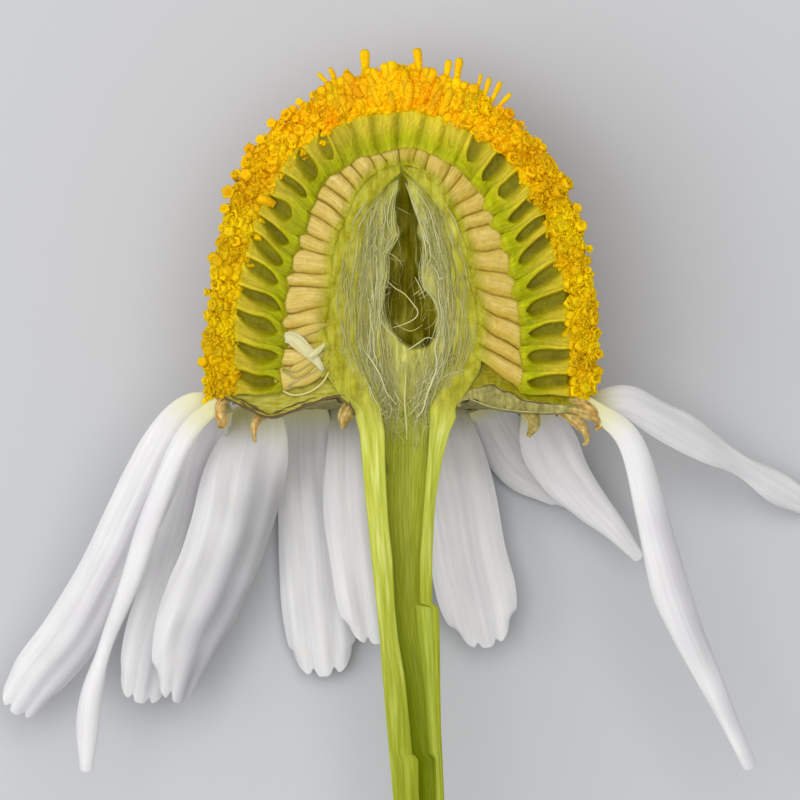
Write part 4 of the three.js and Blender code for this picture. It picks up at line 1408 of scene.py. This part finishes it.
def fibres(rng):
    """Fine silvery threads that run down the lining and close in on the stalk's bore. A few are
    stronger and brighter."""
    for _ in range(FIBRE_COUNT):
        across = rng.choice([-1, 1]) * rng.beta(2.0, 1.5) * 0.95
        high = rng.uniform(0.2, 4.2)
        low = max(high - rng.uniform(0.5, 2.6), -1.2 + rng.uniform(0, 1.5))
        y = np.linspace(high, low, 18)
        drift = np.linspace(0, rng.normal() * 0.14, 18)
        waver = 0.03 * wave(rng, 3, 12, 18)
        waver = waver + 0.015 * wave(rng, 12, 24, 18)
        x = half_at(y) * np.clip(across + drift, -1.1, 1.1) + waver
        depth, inside = lining_depth(x, y)
        lift = rng.uniform(0.0, 0.05) + 0.02 * np.sin(np.linspace(0, rng.uniform(2, 8), 18))
        path = np.stack([x + sway(y) + BORE_SHIFT, y, -np.maximum(depth - lift, 0.0)], axis=-1)
        if inside.max() > 0.4 and rng.random() < 0.93:
            continue
        strong = rng.random() < 0.08
        bright = 0.9 if strong else rng.random() ** 2.2
        radius = rng.uniform(0.003, 0.007) + 0.003 * bright + 0.006 * strong
        yield rod(path, radius * np.sin(np.linspace(0.35, 2.8, 18)), 3, (1, 0, bright, 0))


STREAK_COUNT = 260


def streaks(rng):
    """Short silvery streaks over the flesh beside the hollow, fewer the farther they lie from it."""
    for _ in range(STREAK_COUNT):
        across = rng.choice([-1, 1]) * (0.86 + 0.5 * rng.random() ** 1.5)
        high = rng.uniform(0.6, 4.0)
        y = np.linspace(high, high - rng.uniform(0.25, 0.9), 12)
        waver = 0.02 * wave(rng, 2, 7, 12)
        x = half_at(y) * across + waver + BORE_SHIFT
        path = np.stack([x, y, 0 * y + rng.uniform(0.0, 0.035)], axis=-1)
        radius = rng.uniform(0.005, 0.013) * tapered(12)
        yield rod(path, radius, 4, (1, 0, rng.uniform(0.03, 0.4), 0))


CROSS_COUNT = 520


def cross_threads(rng):
    """Short fine threads that lie across the others, as in felt."""
    for _ in range(CROSS_COUNT):
        y = rng.uniform(-0.5, 3.9)
        x = half_at(y) * rng.choice([-1, 1]) * rng.uniform(0.3, 1.05)
        way, bend = rng.uniform(-1.2, 1.2), rng.normal() * 1.6
        turn = way + bend * np.linspace(-0.5, 0.5, 10)
        step = rng.uniform(0.25, 0.7) / 10
        flat = np.stack([x + np.cumsum(np.sin(turn)) * step, y - np.cumsum(np.cos(turn)) * step], axis=1)
        depth, inside = lining_depth(*flat.T)
        if inside.max() > 0.5 and rng.random() < 0.75:
            continue
        deep = depth.min() - rng.uniform(0.0, 0.04)
        path = np.column_stack([flat[:, 0] + BORE_SHIFT, flat[:, 1], np.full(10, -max(deep, 0.0))])
        radius = rng.uniform(0.003, 0.008) * tapered(10)
        yield rod(path, radius, 3, (1, 0, rng.uniform(0.05, 0.8), 0))


EDGE_THREADS = 26


def edge_threads(rng):
    """Threads that run along the torn gap's edges."""
    for k in range(EDGE_THREADS):
        edge, side = ((GAP_LEFT, -1), (GAP_RIGHT, 1))[k % 2]
        high = rng.uniform(1.6, 4.3)
        y = np.linspace(high, max(high - rng.uniform(0.8, 2.0), 1.0), 24)
        x = gap_edge(edge, y) + side * (rng.uniform(-0.03, 0.12) + 0.03 * np.sin(y * rng.uniform(2, 5)))
        depth = lining_depth(x, y)[0] * 0.5
        path = np.stack([x + BORE_SHIFT, y, -depth - 0.02], axis=-1)
        path = spline(path[::4], 20)
        fibre_lightness = rng.uniform(0.2, 0.9)
        yield rod(path, rng.uniform(0.007, 0.014) * tapered(20), 5, (1, 0, fibre_lightness, 0))


# The few strong strands, by the places that they pass: [x, y], how deep they lie, and their radius.
STRANDS = [
    (
        [
            (-0.31, 2.33), (-0.14, 2.17), (0.05, 2.05), (0.23, 1.84), (0.32, 1.69), (0.27, 1.56),
            (0.08, 1.45), (-0.19, 1.36),
        ],
        0.14, 0.014,
    ),
    ([(0.23, 2.02), (0.31, 2.08), (0.39, 2.13)], 0.24, 0.012),
    ([(0.69, 1.12), (0.51, 1.16), (0.3, 1.03), (0.08, 0.88), (0.01, 0.81)], 0.12, 0.013),
    ([(0.05, 0.9), (0.08, 0.38), (0.05, -0.06), (0.08, -0.5), (0.1, -0.9)], 0.16, 0.017),
    (
        [
            (0.76, 1.3), (0.67, 0.95), (0.71, 0.64), (0.65, 0.37), (0.51, 0.02), (0.43, -0.28),
            (0.3, -0.46),
        ],
        0.06, 0.022,
    ),
    ([(0.99, 1.26), (1.06, 0.95), (0.91, 0.73), (0.76, 0.55), (0.69, 0.33)], 0.03, 0.014),
    ([(1.35, 0.55), (1.13, 0.47), (0.86, 0.37), (0.73, 0.2), (0.67, -0.02)], -0.01, 0.013),
    (
        [
            (-1.11, 1.52), (-1.02, 1.26), (-0.8, 0.95), (-0.58, 0.64), (-0.43, 0.37), (-0.32, 0.07),
            (-0.12, -0.19),
        ],
        0.0, 0.014,
    ),
    ([(-0.28, 1.3), (-0.32, 1.03), (-0.23, 0.81), (-0.01, 0.68), (0.05, 0.55)], 0.14, 0.013),
    ([(0.6, 2.65), (0.73, 2.48), (0.78, 2.35), (1.02, 2.46)], 0.05, 0.013),
    ([(0.27, 2.39), (0.38, 2.17), (0.47, 1.95)], 0.16, 0.012),
    ([(-0.64, 3.1), (-0.62, 2.6), (-0.6, 2.1), (-0.66, 1.6)], 0.08, 0.016),
    ([(-0.52, 3.2), (-0.5, 2.7), (-0.5, 2.2), (-0.55, 1.7)], 0.09, 0.018),
    ([(-0.42, 3.0), (-0.42, 2.6), (-0.44, 2.2), (-0.46, 1.5)], 0.1, 0.015),
    ([(-0.02, 4.36), (-0.2, 3.9), (-0.26, 3.5), (-0.14, 3.2)], 0.1, 0.014),
    ([(0.12, 4.3), (0.3, 3.8), (0.46, 3.3), (0.52, 2.8)], 0.1, 0.012),
    ([(-0.16, 1.5), (0.0, 1.36), (0.2, 1.3), (0.42, 1.42)], 0.34, 0.012),
    ([(-0.1, 0.86), (0.1, 0.7), (0.3, 0.62), (0.5, 0.7)], 0.22, 0.01),
    ([(-0.36, 0.5), (-0.2, 0.2), (-0.05, -0.1), (0.1, -0.3)], 0.2, 0.012),
    ([(0.6, 0.2), (0.4, -0.1), (0.2, -0.35), (0.0, -0.5)], 0.22, 0.012),
]


def strands():
    for places, depth, radius in STRANDS:
        flat = spline(places, 7 * len(places))
        path = np.concatenate([flat, np.full((len(flat), 1), -depth)], axis=1)
        share = np.linspace(0.3, math.pi - 0.3, len(path))
        path[:, 2] -= 0.05 * (1 - np.sin(share))
        # painted shade: the deeper a strand lies in the hollow, the darker it is coloured
        fibre_lightness = max(0.85 - 3 * max(depth - 0.04, 0), 0.12)
        yield rod(path, radius * np.sin(share) ** 0.6, 7, (1, 0, fibre_lightness, 0))


def torn_pith(rng):
    heap = Heap()
    heap.add(lining(), *fibres(rng), *streaks(rng), *cross_threads(rng), *edge_threads(rng), *strands())
    return heap


# ---- involucre ----

BRACT_COUNT = 24
# The dried tips that show below the cut face: the route of each, its widths and how brown it is.
TIPS = [
    (
        [
            (-3.5, -0.05, -0.25), (-3.68, -0.16, -0.12), (-3.7, -0.36, -0.08), (-3.62, -0.56, -0.12),
            (-3.7, -0.64, -0.2),
        ],
        (0.16, 0.26, 0.24, 0.2, 0.1), 1.0,
    ),
    (
        [
            (-2.66, -0.3, -0.4), (-2.9, -0.46, -0.3), (-3.0, -0.68, -0.28), (-2.98, -0.96, -0.34),
        ],
        (0.2, 0.2, 0.12, 0.04), 0.8,
    ),
    (
        [
            (-0.95, -0.1, -0.5), (-1.05, -0.24, -0.3), (-1.16, -0.44, -0.24), (-1.2, -0.66, -0.32),
        ],
        (0.2, 0.3, 0.28, 0.08), 0.6,
    ),
    (
        [
            (2.2, -0.12, -0.3), (2.5, -0.28, -0.14), (2.68, -0.56, -0.1), (2.56, -0.84, -0.14),
        ],
        (0.2, 0.24, 0.26, 0.08), 0.25,
    ),
    (
        [
            (3.2, -0.24, -0.14), (3.6, -0.34, -0.04), (3.9, -0.46, -0.06), (4.02, -0.62, -0.14),
            (3.92, -0.68, -0.2),
        ],
        (0.16, 0.22, 0.22, 0.16, 0.08), 0.7,
    ),
    (
        [
            (3.1, -0.26, -0.24), (3.4, -0.42, -0.14), (3.66, -0.66, -0.12), (3.76, -0.92, -0.2),
            (3.68, -1.0, -0.26),
        ],
        (0.16, 0.22, 0.24, 0.14, 0.05), 0.75,
    ),
    (
        [
            (3.4, -0.1, -0.08), (3.66, -0.18, 0.0), (3.86, -0.3, -0.02), (3.98, -0.44, -0.1),
        ],
        (0.12, 0.18, 0.14, 0.06), 0.9,
    ),
    ([(1.0, -0.2, -0.2), (1.1, -0.12, -0.08), (1.16, -0.22, -0.1)], (0.06, 0.12, 0.05), 1.0),
]


def bract_tone(brown, edge, rows=20, columns=7):
    tone = np.zeros((rows, columns, 4))
    tone[..., 0] = brown[:, None]
    tone[:, (0, -1), 1] = edge
    return np.concatenate([tone.reshape(-1, 4)] * 2)


# The brown seams between the bract bases, by the side that they are on: how far above the floor's
# underside each lies, and where it starts and ends.
RIM_LINES = {
    -1: ((0.0, 1.3, 3.5), (0.05, 2.3, 3.3), (0.09, 1.7, 2.6), (0.1, 2.8, 3.5)),
    1: ((0.0, 1.36, 3.3),),
}


def rim_lines(rng):
    """The brown seams that the cut shows in the rim."""
    for side, lines in RIM_LINES.items():
        under = spline(FLOOR_UNDER[side], 90)
        for height, start, end in lines:
            part = under[(under[:, 0] > start) & (under[:, 0] < end)]
            path = np.stack([side * part[:, 0], part[:, 1] + height, 0 * part[:, 0] + 0.005], axis=-1)
            path[:, 1] += 0.02 * ripple(path, 0.3, int(rng.integers(100)))
            radii = rng.uniform(0.012, 0.018) * tapered(len(path))
            radii = radii * (1 + 0.4 * ripple(path, 0.2, 62))
            yield rod(path, radii, 6, (0, 0, 0.85, 0))


def involucre(rng):
    """Overlapping bracts laid close under the florets' floor, and their dried tips."""
    heap = Heap()
    spins = (math.pi - 0.2) * (np.arange(BRACT_COUNT) + 0.5) / BRACT_COUNT
    lines = floor_line(PAD_UNDER, spins, 12)
    for k, (spin, line) in enumerate(zip(spins, lines)):
        radial = np.array([math.cos(spin), 0, -math.sin(spin)])
        end = line[-1] + [rng.uniform(-0.3, 0.0), 0.0]
        tip = end + [rng.uniform(-0.1, 0.1), -rng.uniform(0.02, 0.12)]
        route = [*line[2:-2:2], end, tip]
        points = [radial * r + np.array([0, y, 0]) for r, y in route]
        cup = -0.08 - 0.06 * (k % 2)
        made = ribbon(points, (0.3, 0.5, 0.62, 0.56, 0.14), 0.05, 0.0, cup=cup, face=(0, 1, 0))
        made.tone = bract_tone(smooth_step(np.linspace(0, 1, 20), 0.75, 1.0) * 0.9, 0.35)
        heap.add(made)
    heap.add(pad(), *rim_lines(rng))
    for points, widths, brown in TIPS:
        made = ribbon(points, widths, 0.05, 0.0, cup=0.6)
        made.tone = bract_tone(brown * smooth_step(np.linspace(0, 1, 20), -0.2, 0.6), 0.4)
        heap.add(made)
    return heap


def pad():
    """The layer of bract bases: thick and grey-green at the right, a thin brown line at the left."""
    turn = np.linspace(0.0, math.pi, PAD_GRID[0])
    top = floor_line(FLOOR_UNDER, turn, PAD_GRID[1]) + [0, 0.01]
    low = floor_line(PAD_UNDER, turn, PAD_GRID[1])
    tone = np.zeros((*top.shape[:2], 4))
    tone[..., 2] = 0.9 * smooth_step(turn, math.pi - 0.1, math.pi)[:, None]
    top = turned(top, turn)
    low = turned(low, turn)
    low[..., 1] += 0.012 * ripple(low, 0.25, 61)
    return two_sided(top, low, None, tone)


# ---- ray florets ----

PETAL_ROWS = 70
PETAL_COLUMNS = 27
PETAL_THICKNESS = 0.1
PETAL_EDGE_THICKNESS = 0.035
# Where the veins and the cuts between the teeth are, from edge (-1) to edge (1).
VEINS, NOTCHES = (-0.62, -0.33, -0.1, 0.14, 0.36, 0.66), (-0.36, 0.33)
# The ray florets from left to right: the route of each from the rim, the directions that its face
# turns to and its widths, evenly spaced from claw to tip. `roll` curls it across, in radians to
# each edge, `crest` moves the crest of that curve aside, `shade` is painted shade that greys its right
# half, `pleat` is the height of its folds and `notch` the depth of the cuts between its teeth.
RAYS = [
    dict(
        spine=[
            (-3.68, -0.2, -0.6), (-4.27, -0.34, -0.68), (-4.8, -1.12, -0.75), (-5.41, -2.39, -1.0),
            (-6.02, -3.6, -1.4), (-6.73, -4.86, -1.95), (-7.42, -5.73, -2.35), (-7.9, -6.44, -2.6),
        ],
        face=[(0, 0, 1), (0.2, 0, 1), (0.3, 0, 1)],
        widths=(0.4, 1.0, 1.12, 1.12, 1.14, 1.18, 1.15, 0.95),
        roll=0.5, pleat=0.05, notch=0.2, shade=0.55,
    ),
    dict(
        spine=[
            (-3.72, -0.15, -0.14), (-4.39, -0.85, 0.0), (-5.06, -2.43, 0.05), (-5.49, -3.75, -0.1),
            (-6.0, -5.06, -0.35), (-6.33, -6.28, -0.6), (-6.41, -7.62, -0.85),
        ],
        face=[(0, 0, 1), (0, 0, 1)],
        widths=(0.3, 0.4, 0.42, 0.4, 0.4, 0.36, 0.28, 0.24, 0.4, 0.42, 0.24),
        roll=1.5, pleat=0.0, notch=0.1,
    ),
    dict(
        spine=[
            (-3.62, -0.18, -1.05), (-3.88, -0.85, -2.1), (-4.12, -1.72, -2.3), (-4.47, -3.04, -2.4),
            (-4.8, -4.15, -2.45), (-5.06, -4.96, -2.5), (-5.34, -6.26, -2.65),
        ],
        face=[(-0.5, 0, 0.8), (0, 0, 1), (0, 0, 1)],
        widths=(0.5, 0.8, 1.1, 1.2, 1.2, 1.2, 0.95),
        roll=0.4, pleat=0.065, notch=0.2, shade=0.3,
    ),
    dict(
        spine=[
            (-3.1, -0.18, -2.0), (-2.95, -0.75, -1.8), (-3.2, -1.72, -1.74), (-3.54, -2.94, -1.72),
            (-4.01, -4.15, -1.78), (-4.36, -4.96, -1.86), (-4.64, -6.2, -2.05),
        ],
        face=[(-0.1, 0, 1), (0.4, 0, 1), (0.4, 0, 1)],
        widths=(0.8, 1.5, 1.84, 1.94, 1.88, 1.6, 1.0),
        roll=0.85, pleat=0.07, notch=0.25, crest=-0.4, shade=0.9,
    ),
    dict(
        spine=[
            (-1.96, -0.18, -3.05), (-1.94, -0.71, -3.38), (-1.9, -1.72, -3.44), (-1.8, -2.94, -3.44),
            (-1.71, -4.15, -3.44), (-1.57, -5.74, -3.4),
        ],
        face=[(0, 0, 1), (0, 0, 1)],
        widths=(0.8, 1.25, 1.38, 1.44, 1.5, 1.15),
        roll=0.4, pleat=0.065, notch=0.2,
    ),
    dict(
        spine=[
            (-1.03, -0.18, -3.56), (-0.93, -0.8, -3.02), (-0.91, -1.72, -2.82), (-0.81, -2.94, -2.8),
            (-0.63, -4.15, -2.78), (-0.5, -5.08, -2.75),
        ],
        face=[(0, 0, 1), (0.15, 0, 1)],
        widths=(0.8, 1.2, 1.4, 1.42, 1.4, 1.05),
        roll=0.4, pleat=0.065, notch=0.2,
    ),
    dict(
        spine=[
            (0.78, -0.18, -3.58), (0.91, -0.85, -3.15), (1.15, -2.13, -3.05), (1.36, -3.34, -3.05),
            (1.56, -4.2, -3.05), (1.78, -5.14, -3.05),
        ],
        face=[(0, 0, 1), (-0.1, 0, 1)],
        widths=(0.9, 1.35, 1.5, 1.58, 1.56, 1.1),
        roll=0.35, pleat=0.05, notch=0.15,
    ),
    dict(
        spine=[
            (1.72, -0.18, -3.18), (2.0, -0.75, -3.46), (2.4, -1.35, -3.46), (2.95, -1.72, -3.46),
            (3.55, -2.15, -3.46),
        ],
        face=[(0, 0, 1), (0, 0, 1)],
        widths=(0.8, 1.0, 1.1, 0.9, 0.6),
        roll=0.3, pleat=0.04, notch=0.15,
    ),
    dict(
        spine=[
            (2.69, -0.18, -2.4), (2.92, -0.85, -2.55), (3.3, -1.6, -2.68), (3.85, -2.24, -2.78),
            (4.31, -2.7, -2.85), (4.86, -3.34, -2.95),
        ],
        face=[(0.3, 0, 1), (0, 0, 1), (-0.3, 0, 1)],
        widths=(0.6, 1.12, 1.05, 0.74, 0.46, 0.26),
        roll=0.45, pleat=0.05, notch=0.1,
    ),
    dict(
        spine=[
            (3.72, -0.17, -0.14), (4.6, -0.91, -0.1), (5.08, -2.53, -0.12), (5.51, -4.15, -0.3),
            (6.24, -5.77, -0.62), (7.08, -7.57, -1.1),
        ],
        face=[(0, 0, 1), (0.3, 0, 1), (0, 0, 1)],
        widths=(0.32, 0.5, 0.58, 0.68, 0.8, 0.66, 0.5, 0.36, 0.3),
        roll=1.0, pleat=0.0, notch=0.1, shade=0.4,
    ),
    dict(
        spine=[
            (3.7, -0.24, -0.66), (4.47, -0.12, -0.8), (5.22, -0.47, -1.15), (6.03, -0.93, -1.7),
            (6.84, -1.4, -2.3), (7.62, -1.88, -2.9), (8.34, -2.27, -3.36),
        ],
        face=[(0.2, 0.5, 1), (0.3, 0.7, 1), (-0.1, 0.1, 1)],
        widths=(0.35, 0.74, 0.9, 0.8, 0.42, 0.64, 0.5),
        roll=0.6, pleat=0.03, notch=0.15, crest=0.3,
    ),
]


def petal(ray, rng):
    """A thin blade along its route, pleated along its veins, its tip cut into three round teeth."""
    u = np.linspace(0, 1, PETAL_ROWS)
    c = np.linspace(-1, 1, PETAL_COLUMNS)
    centre = spline(ray["spine"], PETAL_ROWS)
    along = unit(np.gradient(centre, axis=0))
    up = mixed(ray["face"], u)
    up = unit(up - along * np.sum(up * along, axis=1, keepdims=True))
    across = np.cross(up, along)
    half = np.maximum(mixed(ray["widths"], u), 0.1) / 2
    half = half * (1 + 0.025 * np.sin(u * rng.uniform(9, 16) + rng.uniform(0, 6)))
    roll = ray["roll"] * smooth_step(u, 0.02, 0.3)[:, None] + 1e-3
    span = np.sin(np.minimum(roll, HALF_TURN))
    aside = np.sin(roll * c) / span
    dome = (np.cos(roll * (c - ray.get("crest", 0))) - np.cos(roll)) / span
    folds = 0.7 * ray["pleat"] * np.cos(3 * math.pi * c) * smooth_step(u, 0.05, 0.35)[:, None]
    veins = sum(np.exp(-(((c - at) / 0.045) ** 2)) for at in VEINS)
    lift = half[:, None] * (dome + folds) - 0.003 * veins * smooth_step(u, 0.05, 0.2)[:, None]
    cuts = sum(np.exp(-(((c - at) / 0.11) ** 2)) for at in NOTCHES)
    tooth = -0.55 * np.abs(c) ** 3.5 - ray["notch"] * cuts
    tooth = tooth * half[-8] * 1.3
    reach = tooth * smooth_step(u, 0.86, 1.0)[:, None]
    middle = centre[:, None] + across[:, None] * (half[:, None] * aside)[..., None]
    middle = middle + up[:, None] * lift[..., None] + along[:, None] * reach[..., None]
    seed = int(rng.integers(1000))
    bend = 0.03 * ripple(middle, 1.3, seed) * smooth_step(u, 0, 0.3)[:, None]
    middle = middle + up[:, None] * bend[..., None]
    thin = PETAL_EDGE_THICKNESS + (PETAL_THICKNESS - PETAL_EDGE_THICKNESS) * (1 - c**4)
    claw = 0.1 * (1 - smooth_step(u, 0, 0.12))[:, None]
    thick = thin * (1 - 0.5 * smooth_step(u, 0.85, 1.0))[:, None] + claw
    length = np.linalg.norm(np.diff(centre, axis=0), axis=1).sum()
    grain = np.stack(
        np.broadcast_arrays(u[:, None] * length, half[:, None] * c, rng.uniform(0, 90)), axis=-1
    )
    tone = np.zeros((PETAL_ROWS, PETAL_COLUMNS, 4))
    tone[..., 0] = 0.8 * (1 - smooth_step(u, 0.0, 0.16))[:, None]
    # painted shade: greys the right half of the petals that have a shade
    shade = ray.get("shade", 0) * smooth_step(c, -0.4, 0.15) * smooth_step(u, 0.1, 0.35)[:, None]
    tone[..., 1] = np.clip(0.1 * veins + shade, 0, 1)
    return sheet(middle, thick, grain, tone)


# ---- stage ----


STAGE_HALF = 0.6  # in metres, as the lamps' places are
STAGE_COLOUR, STAGE_ROUGHNESS = (0.5, 0.51, 0.53, 1), 0.9


def floor(centre):
    """A plain pale floor."""
    mesh = bpy.data.meshes.new("floor")
    signs = ((-1, -1), (1, -1), (1, 1), (-1, 1))
    corners = [(x * STAGE_HALF + centre.x, y * STAGE_HALF + centre.y, 0.0) for x, y in signs]
    mesh.from_pydata(corners, [], [(0, 1, 2, 3)])
    made = bpy.data.objects.new("floor", mesh)
    bpy.context.scene.collection.objects.link(made)
    look = bpy.data.materials.new("floor_pale")
    look.use_nodes = True
    shader = look.node_tree.nodes["Principled BSDF"]
    shader.inputs["Base Color"].default_value = STAGE_COLOUR
    shader.inputs["Roughness"].default_value = STAGE_ROUGHNESS
    mesh.materials.append(look)


def lamp(name, place, aim, size, power):
    data = bpy.data.lights.new(name, "AREA")
    data.shape = "DISK"
    data.size = size
    data.energy = power
    made = bpy.data.objects.new(name, data)
    made.location = place
    made.rotation_mode = "QUATERNION"
    made.rotation_quaternion = (aim - Vector(place)).to_track_quat("-Z", "Y")
    bpy.context.scene.collection.objects.link(made)


# The lamps: name, place, size and power in watts.
LAMPS = (("key", (0.0, 0.02, 0.135), 0.13, 0.115), ("fill", (-0.08, 0.0, 0.1), 0.11, 0.07))
WORLD_COLOUR, WORLD_STRENGTH = (1.0, 0.99, 0.98, 1), 0.42


def lights(aim):
    for name, place, size, power in LAMPS:
        lamp(name, place, aim, size, power)
    world = bpy.data.worlds.new("studio")
    world.use_nodes = True
    background = world.node_tree.nodes["Background"]
    background.inputs["Color"].default_value = WORLD_COLOUR
    background.inputs["Strength"].default_value = WORLD_STRENGTH
    bpy.context.scene.world = world
    bpy.context.scene.view_settings.view_transform = "Standard"


# The view is straight down on the cut face, PIXEL_MM to a pixel of an 800-pixel frame whose middle
# is VIEW_X, VIEW_Y in the head's frame.
PIXEL_MM = 0.02025
FRAME_PIXELS = 800
VIEW_X, VIEW_Y = -0.0405, -0.10125
LENS, SENSOR = 1000.0, 36.0


def camera():
    data = bpy.data.cameras.new("camera")
    data.lens = LENS
    data.sensor_width = SENSOR
    width = PIXEL_MM * FRAME_PIXELS
    away = width * LENS / SENSOR
    data.clip_start = 0.005
    data.clip_end = 5.0
    made = bpy.data.objects.new("camera", data)
    made.location = (VIEW_X * MM, (VIEW_Y - REST_Y) * MM, (CUT_HEIGHT + away) * MM)
    bpy.context.scene.collection.objects.link(made)
    bpy.context.scene.camera = made


# ---- the whole ----


def build():
    camera()
    centre = Vector((0, -0.001, 0.003))
    floor(centre)
    lights(centre)
    yellow = floret_look()
    tops, bed, band = Heap(), Heap(), Heap()
    bed.add(core_shell(), band_bed())
    head_florets(tops, bed, np.random.default_rng(11))
    tops.piece("disc_florets", yellow, "floret_yellow", "floret_tops", sharp=100)
    bed.piece("floret_bed", yellow, "floret_yellow")
    cut_florets(band, np.random.default_rng(12))
    low_florets(band, np.random.default_rng(21))
    cut_buds(band, np.random.default_rng(20))
    styles(band, np.random.default_rng(13))
    band.piece("cut_florets", yellow, "floret_yellow", sharp=100)
    pollen(np.random.default_rng(14)).piece("pollen", yellow, "floret_yellow", sharp=180)
    tube_row(np.random.default_rng(15)).piece("open_tubes", tube_look(), "tube_green", "corolla_tubes")
    ovary_row(np.random.default_rng(16)).piece("ovary_row", ovary_look(), "ovary_cream", "ovaries")
    stalk().piece("split_stalk", stalk_look(), "stem_green", "stem_and_receptacle", sharp=40)
    floor_ring().piece("floret_floor", floor_look(), "stem_green", sharp=40)
    torn_pith(np.random.default_rng(18)).piece("torn_pith", pith_look(), "pith_grey", "pith")
    involucre(np.random.default_rng(19)).piece("bracts", bract_look(), "bract_green", "involucre")
    white = petal_look()
    for k, ray in enumerate(RAYS, 1):
        heap = Heap()
        heap.add(petal(ray, np.random.default_rng(100 + k)))
        heap.piece(f"petal_{k:02d}", white, "petal_white", f"ray_floret_{k:02d}")


build()
